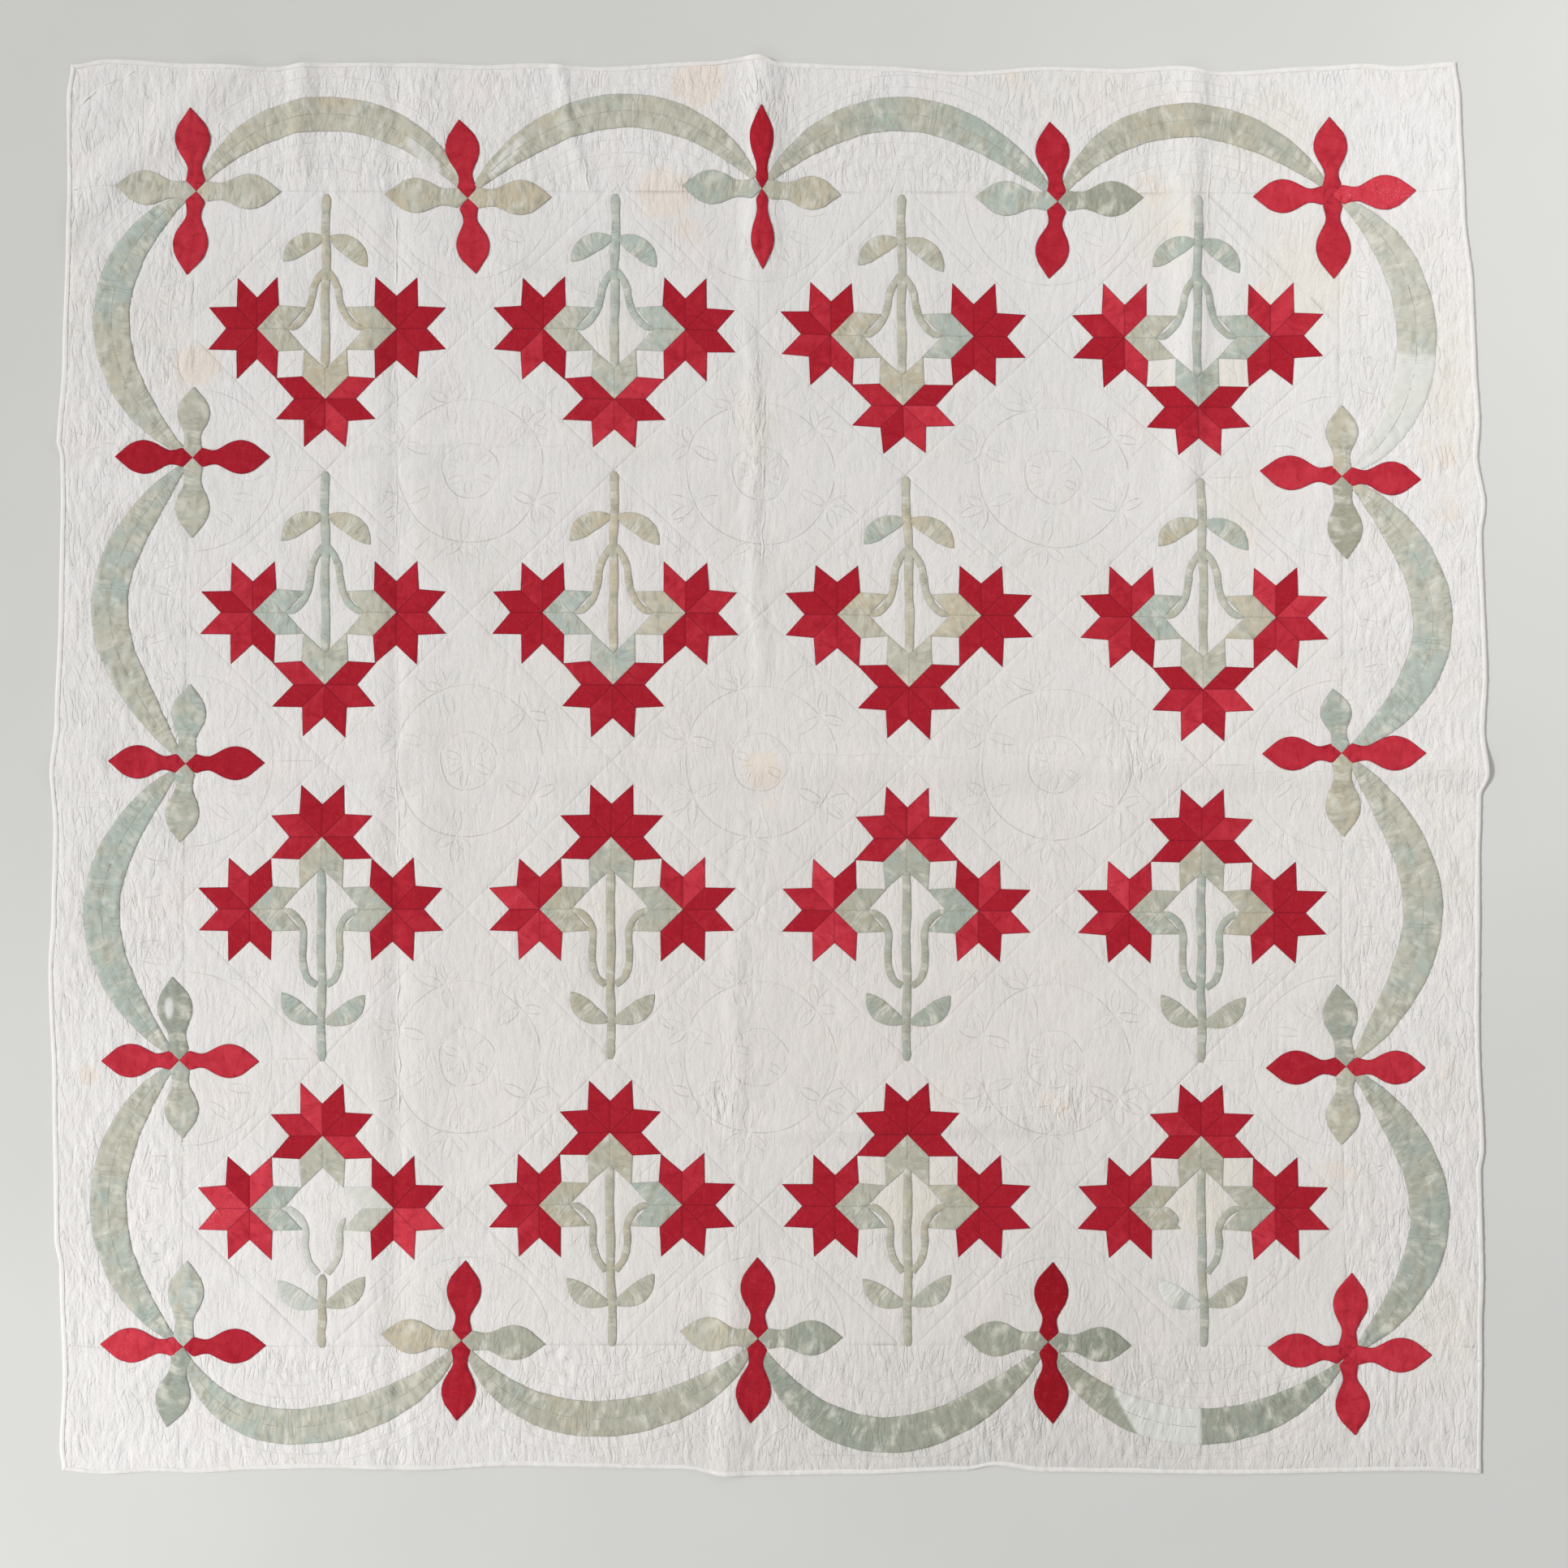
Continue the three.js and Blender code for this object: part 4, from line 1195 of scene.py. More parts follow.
def sage_cotton():
    """Green cotton that has faded unevenly, to sage, tan or a pale blue-green, with painted shade in
    short creases across the strips and along its rim."""
    f = Finish("sage_cotton", 0.9, 0.05)
    broad = f.noise(f.place, 15.0, 3.0, 0.6, 0.4)
    close = f.noise(f.place, 62.0, 2.0, 0.6, 0.3)
    swings = f.total((f.math("SUBTRACT", broad, 0.5), 3.0), (f.math("SUBTRACT", close, 0.5), 1.8))
    hue = f.math("ADD", f.value("hue"), swings)
    sage = linear(194, 191, 176)
    colour = f.mix(f.band(hue, 0.0, 1.1), sage, linear(177, 188, 181))
    colour = f.mix(f.band(hue, -0.1, -1.1), colour, linear(199, 187, 163))
    colour = f.mix(f.times(f.value("tone"), 0.52), colour, linear(138, 143, 129))
    pale = f.noise(f.stretched(f.cloth, 44.0, 26.0), 1.0, 3.0, 0.6)
    colour = f.mix(f.times(f.band(pale, 0.48, 0.68), 0.7), colour, linear(212, 210, 198))
    streaks = f.noise(f.stretched(f.place, 90.0, 46.0), 1.0, 2.0)
    colour = f.mix(f.times(f.band(streaks, 0.48, 0.72), 0.62), colour, linear(155, 156, 141))
    thread = f.noise(f.stretched(f.cloth, 700.0, 120.0), 1.0, 1.0)
    colour = f.mix(f.times(f.band(thread, 0.55, 0.8), 0.35), colour, linear(210, 209, 197))
    bent = f.warped(f.cloth, 30.0, 0.010)
    puffs = f.creased(bent, 84.0, 24.0, 0.0, 1.0)
    small = f.creased(bent, 190.0, 70.0, 0.3)
    where = f.band(f.noise(f.cloth, 30.0, 1.0), 0.40, 0.60)
    # painted shade in the valleys of the small creases
    valley = f.times(f.band(puffs, 0.045, 0.0), where)
    colour = f.mix(f.times(valley, 0.26), colour, linear(122, 126, 112))
    # painted shade: the edge value darkens the rim of every green patch
    colour = f.mix(f.times(f.value("edge"), 0.42), colour, linear(126, 126, 108))
    colour = f.mix(f.value("fade"), colour, linear(216, 216, 211))
    return f.done(colour, f.total((puffs, 1.6), (small, 0.60), (valley, -0.22)))


def binding_cotton():
    """The binding: the same cotton, a shade yellower, with small stitches along its inner edge."""
    f = Finish("binding_cotton", 0.92, 0.06)
    soil = f.noise(f.place, 26.0, 3.0, 0.6)
    colour = f.mix(f.band(soil, 0.35, 0.75), linear(227, 225, 222), linear(222, 219, 215))
    ticks = f.band(f.noise(f.stretched(f.cloth, 260.0, 0.0), 1.0, 0.0), 0.56, 0.64)
    colour = f.mix(f.times(f.times(f.value("edge"), ticks), 0.3), colour, linear(160, 152, 138))
    crinkle = f.noise(f.stretched(f.cloth, 140.0, 60.0), 1.0, 1.0)
    fine = f.noise(f.place, 300.0, 1.0)
    return f.done(colour, f.total((crinkle, 0.4), (fine, 0.2)))


def stitched_line():
    """The thread and shadow at the bottom of a quilted line, darker between the stitches."""
    f = Finish("stitched_line", 0.95, 0.0)
    wave = f.tree.nodes.new("ShaderNodeTexWave")
    wave.inputs["Scale"].default_value = math.pi / (10 * STITCH_PITCH * MM)
    f.join(wave.inputs["Vector"], f.cloth)
    dimple = f.band(wave.outputs["Fac"], 0.25, 0.75)
    where = f.band(f.noise(f.stretched(f.cloth, 26.0, 0.0), 1.0, 1.0), 0.38, 0.55)
    colour = f.mix(f.times(dimple, 0.6), linear(160, 161, 147), linear(130, 132, 118))
    colour = f.mix(where, linear(173, 173, 158), colour)
    return f.done(colour, f.times(dimple, 0.2))


def floor_finish():
    """Pale matt floor with a faint mottle."""
    f = Finish("pale_floor", 0.95, 0.0)
    mottle = f.noise(f.place, 3.0, 3.0)
    return f.done(f.mix(mottle, linear(203, 203, 201), linear(210, 210, 208)), f.times(mottle, 0.1))


cotton = quilted_cotton()
red = red_cotton()
sage = sage_cotton()
bound = binding_cotton()
stitched = stitched_line()

# ---- Patches: built first, so that the ground can sink a little under them ----

patches = []
under_patches = np.zeros((CELLS, CELLS))
patch_rng = np.random.default_rng(11)


def bleached_at(x, y):
    """Share of the dye that is gone from a green patch at a place: the strongest of the long
    rounded spots there."""
    most = np.zeros(x.shape)
    for sx, sy, length, width, slant, share in BLEACHED:
        c, s = math.cos(math.radians(slant)), math.sin(math.radians(slant))
        dx, dy = x - sx - SHIFT[0], y - sy - SHIFT[1]
        away = np.hypot((dx * c + dy * s) / length, (dy * c - dx * s) / width)
        most = np.maximum(most, share * smooth((1.25 - away) / 0.4))
    return most


def keep_patch(name, shape, finish, slot):
    """Keeps a patch to be sewn in, and marks the ground it covers."""
    if finish is sage:
        x, y = shape["points"][:, 0], shape["points"][:, 1]
        shape["values"]["fade"] = np.maximum(shape["values"]["fade"], bleached_at(x, y))
    patches.append((name, shape, finish, slot))
    i = np.round((shape["points"][:, 0] + SPAN) / CELL).astype(int)
    j = np.round((shape["points"][:, 1] + SPAN) / CELL).astype(int)
    for di in (-1, 0, 1):
        for dj in (-1, 0, 1):
            under_patches[j + dj, i + di] = 1.0


def diamond(row, column, star, k, notches, tips, **values):
    """One diamond of a star, spread evenly between the star's middle, two neighbouring notches
    and the tip, with u and v from 0 to 1. It rolls down at its four seams."""
    u = spread_lines(0, 1, 0.1, 0.04)
    u, v = (g[..., None] for g in np.meshgrid(u, u))
    middle = np.array(star) * STAR_AT
    ways = [np.array([math.cos(t), math.sin(t)]) for t in np.array([k, k + 0.5, k + 1]) * math.pi / 4]
    a, tip, b = (middle + r * w for r, w in zip((notches[k], tips[k], notches[(k + 1) % 8]), ways))
    local = (1 - u) * (1 - v) * middle + u * (1 - v) * a + u * v * tip + (1 - u) * v * b
    u, v = u[..., 0], v[..., 0]
    spot = lily_point(row, column, local)
    x, y = spot[..., 0], spot[..., 1]
    inside = np.minimum(np.minimum(u, 1 - u), np.minimum(v, 1 - v)) * NOTCH * 0.707
    z = top_face(x, y, 0.12 + 0.28 * smooth(inside / 1.8))
    uv = np.stack([u * STAR + v * STAR * 0.707, v * STAR * 0.707 + 60 * k], -1)
    # the edge value grows towards the diamond's seams; the finish draws it as painted shade
    return cut(x, y, z, grid_faces(*x.shape), uv, edge=1 - smooth(inside / 1.5), **values)


STARS = {"left": ((-1, 0), (0, 7)), "right": ((1, 0), (3, 4)), "third": ((0, 1), (5, 6))}
STEM_LINES = np.array([-1, -0.8, -0.35, 0.35, 0.8, 1.0])
LEAF_LINES = spread_lines(-1, 1, 0.26, 0.1)
# Lilies whose reds are more worn than the others, or deeper
LILY_WEAR = {(0, 3): 0.2, (3, 0): 0.22, (3, 2): -0.5, (3, 3): -0.12, (3, 1): -0.1}


def lily(row, column):
    """All coloured patches of one lily: three stars, the stems and two leaves."""
    hues = LILY_HUES[row][column]
    reds, greens = [], []
    worn = row == 3 and column == 0
    for n, (flower, (star, calyx)) in enumerate(STARS.items()):
        whole = patch_rng.uniform(0.1, 0.5) + LILY_WEAR.get((row, column), 0.0)
        notches = NOTCH + patch_rng.uniform(-1.8, 1.8, 8)
        tips = TIP + patch_rng.uniform(-1.6, 1.3, 8)
        for k in range(8):
            if k in calyx:
                hue = hues[3 + n] + patch_rng.uniform(-0.25, 0.25)
                fade = 0.75 if worn and flower == "right" and k == 3 else 0.0
                fade = 0.25 if worn and flower == "right" and k == 4 else fade
                greens.append(diamond(row, column, star, k, notches, tips, tone=hues[6], hue=hue, fade=fade))
            else:
                tone = whole + patch_rng.uniform(-0.25, 0.3)
                if patch_rng.random() < 0.3:
                    tone = -0.3
                reds.append(diamond(row, column, star, k, notches, tips, tone=tone))
    for path, half, low, high, hue, fade in lily_strips(row, column):
        lines = STEM_LINES if half.max() < 9 else LEAF_LINES
        greens.append(strip_on(path, half, lines, low, high, hue=hue, fade=fade, tone=hues[6]))
    label = f"lily_{row + 1}{column + 1}"
    keep_patch(label + "_flowers", joined(reds), red, "red_cotton")
    keep_patch(label + "_stems", joined(greens), sage, "sage_cotton")


PETAL_LINES = spread_lines(-1, 1, 0.16, 0.06)
SWAG_LINES = spread_lines(-1, 1, 0.15, 0.05)


def cross(name):
    """Four bud petals round a middle, red along one way and green along the other."""
    reds, greens = [], []
    for dye, path, half in cross_petals(name):
        if len(dye) == 1:
            reds.append(strip_on(path, half, PETAL_LINES, 0.5, 1.0, tone=dye[0]))
        else:
            greens.append(strip_on(path, half, PETAL_LINES, 0.45, 0.95, hue=dye[0], tone=dye[1], fade=0.0))
    keep_patch(f"cross_{name}_red", joined(reds), red, "red_cotton")
    if greens:
        keep_patch(f"cross_{name}_green", joined(greens), sage, "sage_cotton")


def swag_shape(swag, full):
    """A swag: a strip along its arc, full in the middle and narrow at both crosses, its hue
    changing along it and its dye gone where the cloth has bleached."""
    start, end, _, _, depth, hues = swag
    path = swag_path(swag)
    t = np.linspace(0, 1, len(path))
    half = swag_half(path, full)
    fade = np.zeros(len(path))
    if (start, end) == ("top_5", "right_2"):
        fade = 0.2 + 0.7 * smooth((t - 0.555) / 0.012)
    if (start, end) == ("bottom_5", "bottom_4"):
        ends_at = 0.70 - 0.06 * SWAG_LINES[None, :]
        fade = 0.9 * smooth((t[:, None] - 0.475) / 0.012) * (1 - smooth((t[:, None] - ends_at) / 0.015))
    hue = np.interp(t, np.linspace(0, 1, len(hues)), hues)
    rise = 0.25 + 0.45 * smooth(np.minimum(t, 1 - t) / 0.14)
    keep = slice(int(len(path) * 0.035), int(len(path) * 0.965))
    return strip_on(path[keep], half[keep], SWAG_LINES, 0.12, rise[keep, None],
                    hue=hue[keep], fade=fade[keep], tone=depth)


for k, swag in enumerate(SWAGS):
    keep_patch(f"swag_{swag[0]}_to_{swag[1]}", swag_shape(swag, SWAG_HALVES[k // 4]), sage, "sage_cotton")
for name in CROSSES:
    cross(name)
for row, column in LILIES:
    lily(row, column)

# ---- The ground: lily blocks, plain blocks, triangles and border strips ----

# x, y, radius, strength
STAINS = [
    (-104, 1009, 42, 1.0), (-60, 1000, 30, 0.5), (-152, 841, 45, 0.9), (-120, 790, 30, 0.7),
    (-840, 590, 34, 1.0), (-860, 560, 26, 0.6), (-8, -8, 32, 0.9), (-10, -52, 24, 0.6),
    (-452, -402, 44, 0.5), (-470, -440, 60, 0.4), (-430, -460, 70, 0.36), (440, -400, 56, 0.36), (363, 1009, 34, 0.6),
    (-1002, -457, 16, 1.0), (985, 455, 40, 0.6), (1000, 380, 34, 0.6), (700, 640, 40, 0.6),
    (726, 690, 26, 0.7), (560, 845, 40, 0.6), (620, 800, 30, 0.5), (700, 330, 36, 0.6), (730, 280, 30, 0.5),
    (470, 650, 30, 0.4), (330, 620, 26, 0.5), (960, -20, 34, 0.5), (830, -600, 50, 0.6),
    (620, -700, 30, 0.4), (420, -500, 30, 0.6), (440, -300, 24, 0.5), (-690, -800, 36, 0.5),
    (-40, -830, 30, 0.5), (500, -905, 24, 0.6), (1000, -450, 22, 0.6), (-330, 870, 26, 0.4),
]


def stain_at(x, y):
    """How stained the ground is: the strongest of the soft round stains at a place."""
    most = np.zeros(x.shape)
    for sx, sy, radius, strength in STAINS:
        away = np.hypot(x - sx - SHIFT[0], y - sy - SHIFT[1]) / radius
        most = np.maximum(most, strength * np.clip(1.15 - away * away * 0.6, 0, 1))
    return most


# Soft spots where the white cotton is drawn darker and warmer, and where it is drawn greyer: middle, reach along X
# and Y, share
DARKENED = [(160, -330, 800, 720, 1.0), (420, -1000, 460, 230, 0.9)]
DULL = [
    (260, 620, 560, 460, 0.3), (340, -1040, 480, 150, 0.6), (460, -830, 200, 140, 0.2), (420, -630, 480, 110, 0.22),
    (320, 1000, 130, 90, 0.16),
]
CREAM = [
    (793, 716, 80, 90, 0.9), (584, 800, 70, 80, 0.7), (749, 930, 80, 70, 0.6), (640, 560, 80, 60, 0.5),
    (1010, 560, 60, 190, 0.6), (985, -830, 70, 90, 0.6), (-1030, 700, 40, 300, 0.4), (-20, 500, 34, 90, 0.6),
    (480, 990, 150, 50, 0.4), (700, 380, 60, 60, 0.5), (-30, -880, 60, 160, 0.4), (640, -640, 60, 60, 0.5),
    (-640, -180, 300, 120, 0.25), (1000, -120, 60, 160, 0.4), (215, -650, 90, 120, 0.35),
]
# Lilies with pieces of a creamier white: left square, right square, and the kite round the stem
CREAM_PIECES = {
    (0, 1): (0.1, 0.2, 0.4), (0, 3): (0.3, 0.6, -0.1), (2, 1): (0.1, 0.3, 0.35), (2, 2): (0.3, 0.2, 0.15),
    (2, 3): (0.2, 0.3, 0.25), (3, 0): (0.1, 0.2, 0.2), (3, 2): (0.4, 0.3, 0.7), (3, 3): (0.3, 0.6, 0.5),
    (0, 0): (0.0, 0.1, 0.2), (0, 2): (0.1, 0.1, 0.2), (1, 2): (0.0, 0.2, 0.2), (3, 1): (0.2, 0.2, 0.1),
}


def spots_at(spots, x, y):
    """Sum of soft spots at a place."""
    return sum(share * np.exp(-(((x - sx) / rx) ** 2) - ((y - sy) / ry) ** 2) for sx, sy, rx, ry, share in spots)


def piece_cream(row, column, x, y):
    """Extra cream of a lily's white pieces, at places from its middle with the third flower up."""
    left, right, kite = CREAM_PIECES.get((row, column), (0, 0, 0))
    square = (np.abs(np.abs(x) - 53) < 19.5) & (np.abs(y - 53) < 19.5)
    return np.where(square, np.where(x < 0, left, right), 0.0) + kite * (np.abs(x) + np.abs(y) < 56)


def cotton_values(x, y, gather, cream=0.0):
    """What the cotton's finish reads at a place: its stains, the soft spots where the white is drawn
    darker and greyer, and how much it is gathered."""
    gather = np.maximum(np.maximum(gather, 0.8 * near_middle_fold(x, y)), 2.1 * crumpled_at(x, y))
    return {
        "stain": stain_at(x, y), "darkened": spots_at(DARKENED, x, y), "dull": spots_at(DULL, x, y),
        "cream": cream + spots_at(CREAM, x, y), "gather": gather,
    }


sunk = under_patches * 0.6


def edge_lift(px, py):
    """How high the folds hold a pattern point; under the binding, the same as at the outer edge."""
    at = [np.where(np.abs(p) > EDGE - 2 * BINDING_COVER, np.sign(p) * EDGE, p) for p in (px, py)]
    return lift(*real(*at))


def ground(px, py, faces, uv, inside, gather, cream=0.0):
    """A cut of the ground: pattern points laid down on the relief, rolled down at the seams, with painted shade in
    the roll.
    """
    x, y = real(px, py)
    z = edge_lift(px, py) + LOFT
    inset = EDGE - np.maximum(np.abs(px), np.abs(py))
    calm = smooth((inset - 6) / 16)
    z = z + (on_quilt(relief, x, y) - on_quilt(sunk, x, y)) * calm - 0.8 * (1 - smooth((inset - 7) / 6))
    z = z - 0.25 * (1 - smooth(inside / LIP))
    # painted shade: the cotton is drawn darker where it rolls down into a seam, passed to the finish as its edge
    # value
    shade = (1 - smooth(inside / LIP)) * np.clip(0.34 + 0.3 * on_tile(SOFT, x / 6, y / 6), 0.05, 0.8)
    return cut(x, y, z, faces, uv, edge=shade, **cotton_values(x, y, gather, cream))


CUT_OFF = math.sqrt(2) * (PITCH * 2 - FIELD)  # legs of the corner that the border seam takes off a block
OUTER_LINES = [0, LIP, 5.2, CUT_OFF / 2, CUT_OFF - 5.2, CUT_OFF - LIP, CUT_OFF]


def block_lines():
    """Grid lines of a block from side to side, set so that a corner can be cut off through them."""
    ends = np.array(OUTER_LINES)
    inner = spread_lines(CUT_OFF, BLOCK - CUT_OFF, STEP)[1:-1]
    return np.concatenate([ends, inner, BLOCK - ends[::-1]]) - BLOCK / 2


def kept_points(faces, count):
    """Which of a grid's points some faces use, and the faces with those points numbered anew."""
    used = np.zeros(count, bool)
    used[faces.ravel()] = True
    return used, (np.cumsum(used) - 1)[faces]


def block(middle, gather, cut_corners=(), cream=lambda x, y: 0.0 * x):
    """A square on point: middle + a e1 + b e2 with e1 and e2 along its sides, less the corners
    that reach over the border seam."""
    lines = block_lines()
    n = len(lines)
    a, b = np.meshgrid(lines, lines)
    px = middle[0] + (a - b) / math.sqrt(2)
    py = middle[1] + (a + b) / math.sqrt(2)
    faces = grid_faces(n, n)
    i, j = (g.ravel() for g in np.meshgrid(np.arange(n - 1), np.arange(n - 1)))
    inside = BLOCK / 2 - np.maximum(np.abs(a), np.abs(b))
    kept = np.ones(len(faces), bool)
    faces = faces.copy()
    for corner in cut_corners:
        ci = i if corner in ("left", "bottom") else n - 2 - i
        cj = j if corner in ("bottom", "right") else n - 2 - j
        total = ci + cj
        kept &= total >= 5
        crossed = total == 5
        outer = {"bottom": 0, "right": 1, "top": 2, "left": 3}[corner]
        turned = np.roll(faces[crossed], -outer, axis=1)
        faces[crossed] = np.stack([turned[:, 1], turned[:, 2], turned[:, 3], turned[:, 3]], 1)
        sign = {"top": (0, 1), "bottom": (0, -1), "left": (-1, 0), "right": (1, 0)}[corner]
        inside = np.minimum(inside, FIELD - (px * sign[0] + py * sign[1]))
    used, faces = kept_points(faces[kept], n * n)
    uv = np.stack([a, b], -1).reshape(-1, 2)[used]
    px, py = px.ravel()[used], py.ravel()[used]
    creams = cream(px - middle[0], py - middle[1])
    return ground(px, py, faces, uv, inside.ravel()[used].clip(0), gather, creams)


def triangle(apex, way_a, way_b, leg):
    """A right-angled triangle: apex + p a + q b with p + q up to its leg, on crossings that its
    long side runs through."""
    lines = spread_lines(0, leg, STEP, LIP)
    n = len(lines)
    p, q = np.meshgrid(lines, lines)
    way_a, way_b = np.array(way_a), np.array(way_b)
    px = apex[0] + p * way_a[0] + q * way_b[0]
    py = apex[1] + p * way_a[1] + q * way_b[1]
    faces = grid_faces(n, n)
    i, j = (g.ravel() for g in np.meshgrid(np.arange(n - 1), np.arange(n - 1)))
    kept = i + j <= n - 2
    crossed = i + j == n - 2
    faces = faces.copy()
    part = faces[crossed]
    faces[crossed] = np.stack([part[:, 0], part[:, 1], part[:, 3], part[:, 3]], 1)
    inside = np.minimum(np.minimum(p, q), (leg - p - q) / math.sqrt(2))
    used, faces = kept_points(faces[kept], n * n)
    uv = np.stack([p, q], -1).reshape(-1, 2)[used]
    return ground(px.ravel()[used], py.ravel()[used], faces, uv, inside.ravel()[used].clip(0), 0.75)


def border_strip(side):
    """A strip of the border: a grid from the field's seam out to under the binding. The top and
    bottom ones run the whole width and the side ones fit between them."""
    long_way = EDGE - 3 if side in ("top", "bottom") else FIELD
    along = spread_lines(-long_way, long_way, STEP, LIP)
    under_binding = [EDGE - 13.5, EDGE - 10, EDGE - 7, EDGE - 3]
    out = np.concatenate([spread_lines(FIELD, EDGE - 16, STEP, LIP)[:-1], under_binding])
    a, o = np.meshgrid(along, out)
    px, py = {"top": (a, o), "bottom": (a, -o), "left": (-o, a), "right": (o, a)}[side]
    inside = o - FIELD
    if side in ("left", "right"):
        inside = np.minimum(inside, long_way - np.abs(a))
    return ground(px, py, grid_faces(*a.shape), np.stack([px, py], -1), inside.clip(0), 1.3)


for row, column in LILIES:
    corners = [side for side, cut_off in zip(SIDES, (row == 0, row == 3, column == 0, column == 3)) if cut_off]
    up = LILY_ROWS[row][0]
    shape = block(lily_middle(row, column), 0.75, corners, lambda x, y: piece_cream(row, column, x, up * y))
    sew_in(f"lily_{row + 1}{column + 1}_ground", shape, cotton)
for row, column in PLAINS:
    sew_in(f"plain_{row + 1}{column + 1}", block(plain_middle(row, column), 0.62), cotton)

SIDE_DEPTH = FIELD - 1.5 * PITCH
SLANT = math.sqrt(0.5)
for k in (-1, 0, 1):
    leg = SIDE_DEPTH * math.sqrt(2)
    near, across = 1.5 * PITCH, k * PITCH
    for name, apex, a, b in (
        ("top", (across, near), (SLANT, SLANT), (-SLANT, SLANT)),
        ("bottom", (across, -near), (-SLANT, -SLANT), (SLANT, -SLANT)),
        ("left", (-near, across), (-SLANT, SLANT), (-SLANT, -SLANT)),
        ("right", (near, across), (SLANT, -SLANT), (SLANT, SLANT)),
    ):
        sew_in(f"side_{name}_{k + 2}", triangle(apex, a, b, leg), cotton)
for name, sx, sy in (("top_left", -1, 1), ("top_right", 1, 1), ("bottom_left", -1, -1), ("bottom_right", 1, -1)):
    leg = 2 * FIELD - 3.5 * PITCH
    shape = triangle((sx * FIELD, sy * FIELD), (-sx, 0), (0, -sy), leg)
    sew_in(f"corner_{name}", shape, cotton)
for side in SIDES:
    sew_in(f"border_{side}", border_strip(side), cotton)

for name, shape, finish, slot in patches:
    sew_in(name, shape, finish)

# ---- Quilted lines and creases ----

# Sections of the narrow bands along quilted lines and along creases: half width and painted shade,
# then places across from -1 to 1 with the rise and the share of the painted shade at each
QUILTED = (2.3, 1.0, np.array([(-1, -0.3, 0), (-0.46, 0.42, 0), (0, 0.03, 1), (0.46, 0.42, 0), (1, -0.3, 0)]))
RUCKED = (2.9, 0.5, np.array([(-1, -0.3, 0), (-0.35, 0.3, 0), (0.1, 0.62, 0), (0.42, -0.02, 1), (1, -0.3, 0)]))


def bare_runs(path):
    """The parts of a path that run over bare ground, clear of every patch."""
    path = evenly(path, 5.0)
    near = path - SHIFT
    for _ in range(2):
        near = near + path - np.stack(real(near[:, 0], near[:, 1]), 1)
    bare = (on_quilt(under_patches, path[:, 0], path[:, 1]) < 0.2) & (np.abs(near).max(1) < EDGE - 11)
    for run in np.split(np.arange(len(path)), np.nonzero(np.diff(bare.astype(int)))[0] + 1):
        if bare[run[0]] and len(run) > 3:
            yield path[run]


def narrow_band(path, strength, section, seed):
    """A narrow band of the cotton along a line, with a given section that swells more in some
    places than in others; every other crease is turned to look the other way."""
    half, shade, rows = section
    places, rises, shares = rows.T
    across = (-half if section is RUCKED and seed % 2 else half) * places[None, :]
    x, y = beside(path, across)
    reach = walked(path)[:, None]
    swell = strength * (0.25 + 0.75 * smooth(0.5 + 0.8 * on_tile(SOFT, reach / 4 + 31 * seed, 0 * reach + 7 * seed)))
    ends = smooth(np.minimum(reach, reach[-1] - reach) / 12.0)
    z = top_face(x, y, 0.13 * (2 * ends - 1) + swell * ends * rises[None, :] - 0.25 * (np.abs(places) > 0.9))
    # painted shade: for a quilted line the painted shadow at its bottom, for a crease the painted shade at the foot
    # of its drop, deeper where the band swells
    dark = shares[None, :] * shade * np.minimum(0.3 + 0.7 * swell, 1.0) * ends
    uv = np.stack(np.broadcast_arrays(reach, across), -1)
    return cut(x, y, z, grid_faces(*x.shape), uv, edge=dark, **cotton_values(x, y, 0.6))


def thread_and_shadow_line(path):
    """A thin ribbon of thread colour and painted shadow: the quilting that pulls a swag down along its middle."""
    across = np.array([[-0.36, 0.36]])
    x, y = beside(path, across)
    reach = walked(path)[:, None]
    uv = np.stack(np.broadcast_arrays(reach, across), -1)
    return cut(x, y, top_face(x, y, 0.85), grid_faces(*x.shape), uv)


for group, lines in stitching.items():
    section = RUCKED if group == "creases" else QUILTED
    bands = [
        narrow_band(run, strength, section, seed)
        for seed, (path, strength) in enumerate(lines) for run in bare_runs(path)
    ]
    sew_in(group, joined(bands), cotton)
swag_lines = []
for swag in SWAGS:
    path = swag_path(swag)
    swag_lines.append(thread_and_shadow_line(path[int(len(path) * 0.1):int(len(path) * 0.9)]))
sew_in("swag_lines", joined(swag_lines), stitched)

# ---- Backing and binding ----


def backing_sheet():
    """The backing: one whole cloth under the quilt, lifted with its folds."""
    lines = spread_lines(-EDGE + 4, EDGE - 4, 12.0)
    px, py = np.meshgrid(lines, lines)
    x, y = real(px, py)
    z = lift(x, y) + 0.25
    plain = {"edge": 0.0, "stain": 0.0, "darkened": 0.5, "dull": 0.0, "cream": 0.2, "gather": 0.6}
    shape = cut(x, y, z, grid_faces(*x.shape), np.stack([px, py], -1), **plain)
    shape["faces"] = shape["faces"][:, ::-1]
    return shape


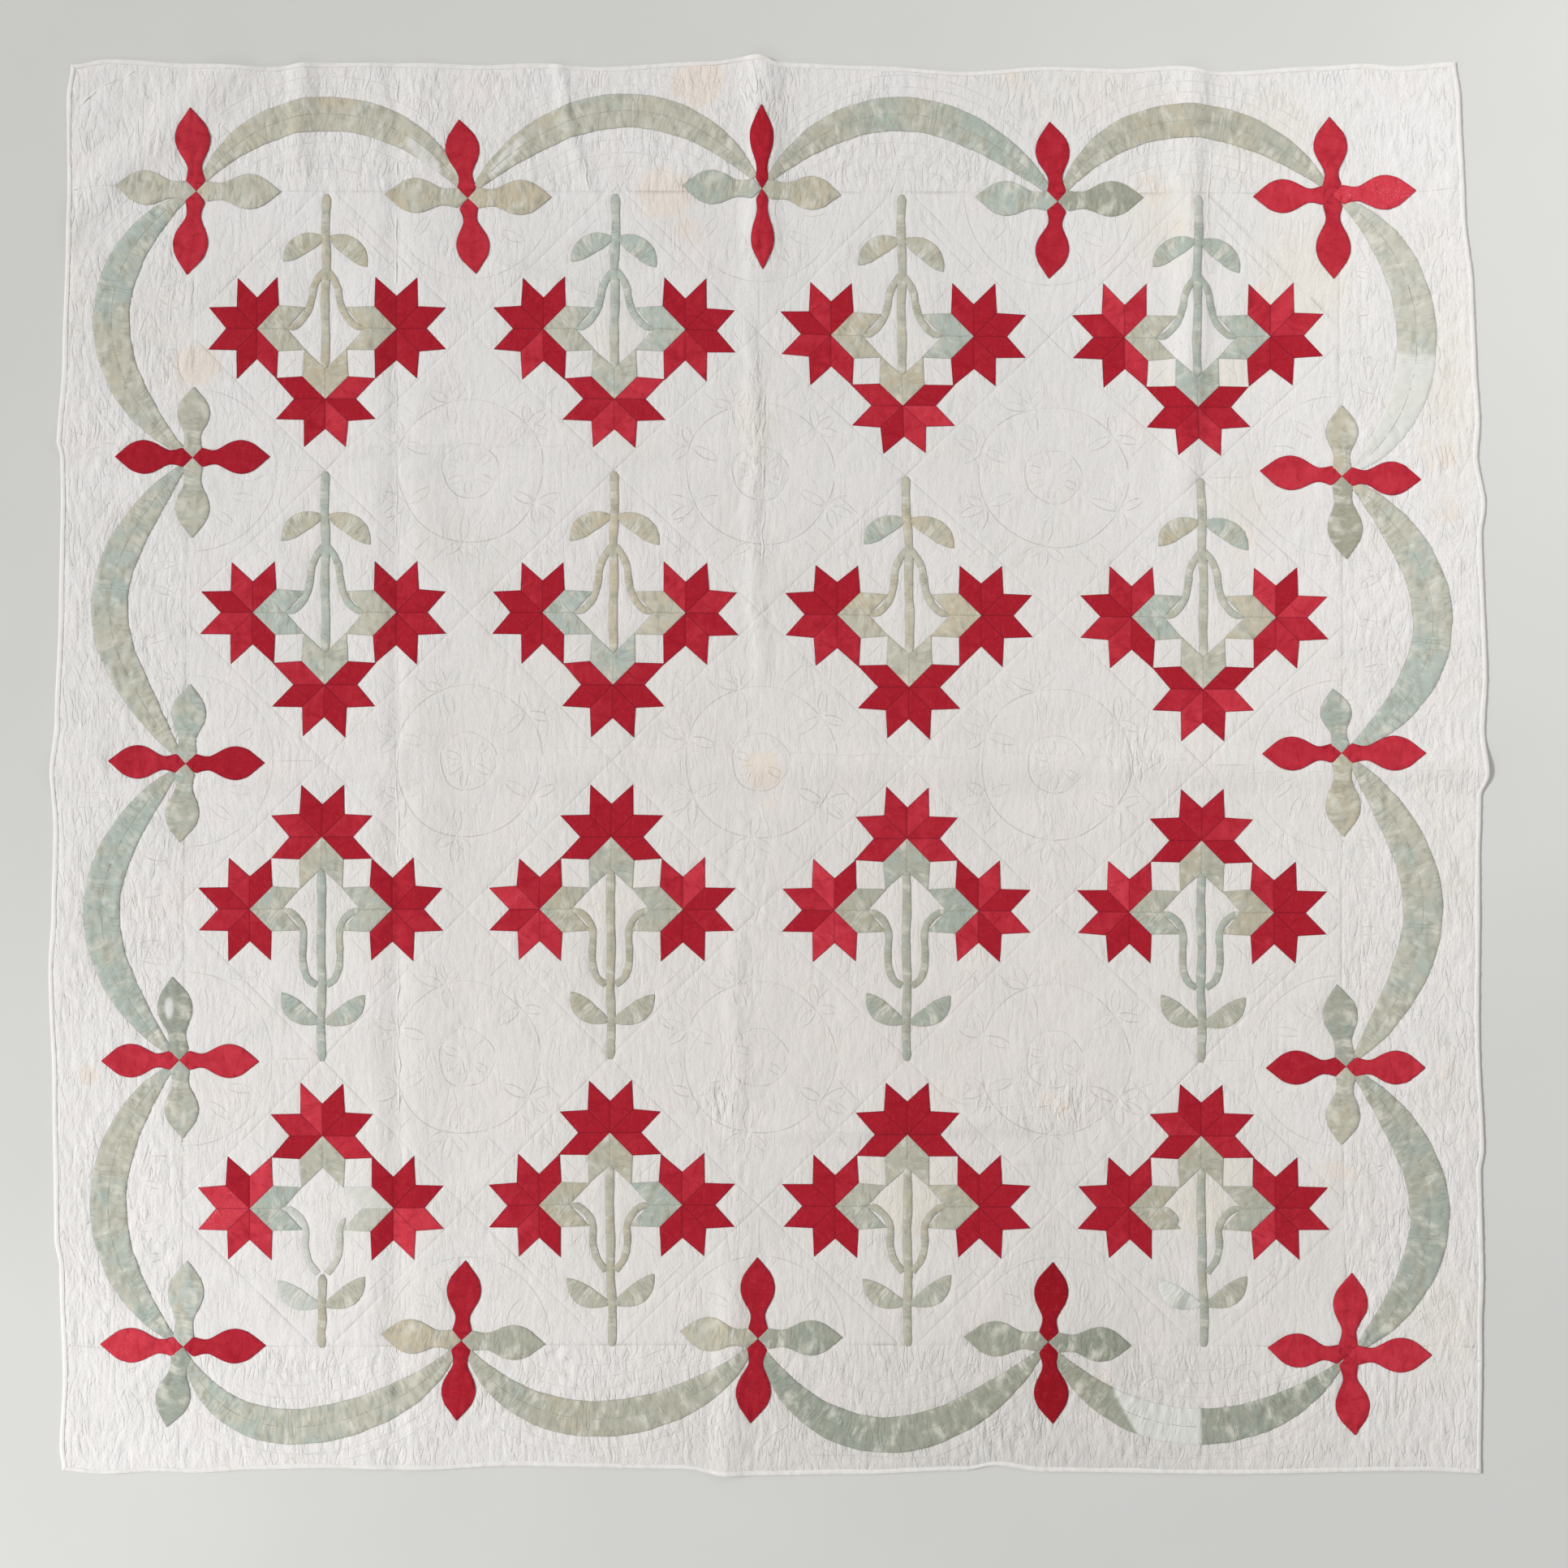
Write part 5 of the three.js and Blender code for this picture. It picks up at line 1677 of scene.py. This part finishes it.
# Section of the binding, from its inner edge on the face over the fold to under the quilt:
# how far in from the edge, and how high over the floor
BINDING_SECTION = np.array([
    (7.3, 3.1), (7.2, 3.55), (6.2, 3.85), (4.0, 3.9), (2.0, 3.65), (0.8, 3.1), (0.15, 2.5), (0.0, 2.0),
    (0.15, 1.1), (0.7, 0.45), (2.0, 0.15), (5.0, 0.1), (7.2, 0.15),
])


def binding_strip(side):
    """A strip of binding: its section carried along one edge of the quilt, mitred at both ends,
    a little uneven in width and gathered by its stitches."""
    inset, height = BINDING_SECTION[:, 0], BINDING_SECTION[:, 1]
    along = spread_lines(-1, 1, 4.0 / EDGE)
    t, inset = np.meshgrid(along, inset, indexing="ij")
    at = t * (EDGE - inset)
    rng_shift = {"top": 3, "bottom": 31, "left": 57, "right": 83}[side]
    uneven = 0.55 * on_tile(SOFT, at / 9 + rng_shift, 0 * at + rng_shift)
    pinch = 0.22 * on_tile(FINE, at / 1.6 + rng_shift, inset / 4)
    inward = inset + uneven * smooth((inset - 2) / 4)
    px, py = {
        "top": (at, EDGE - inward), "bottom": (at, inward - EDGE),
        "left": (inward - EDGE, at), "right": (EDGE - inward, at),
    }[side]
    x, y = real(px, py)
    z = edge_lift(px, py) + height[None, :] + np.where(height[None, :] > 2, pinch, 0.0)
    sewn = (1 - smooth(np.abs(inset - 7.0) / 1.1)) * (height[None, :] > 2)
    return cut(x, y, z, grid_faces(*x.shape), np.stack([at, inset], -1), edge=sewn)


backing = sew_in("backing", backing_sheet(), cotton)
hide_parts("quilt_body")
for side in SIDES:
    strip = sew_in(f"binding_{side}_strip", binding_strip(side), bound)
    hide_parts(f"binding_{side}")

# ---- Floor ----

floor_mesh = bpy.data.meshes.new("floor")
floor_mesh.from_pydata([(-7, -7, 0), (7, -7, 0), (7, 7, 0), (-7, 7, 0)], [], [(0, 1, 2, 3)])
floor = bpy.data.objects.new("floor", floor_mesh)
floor_mesh.materials.append(floor_finish())
bpy.context.scene.collection.objects.link(floor)
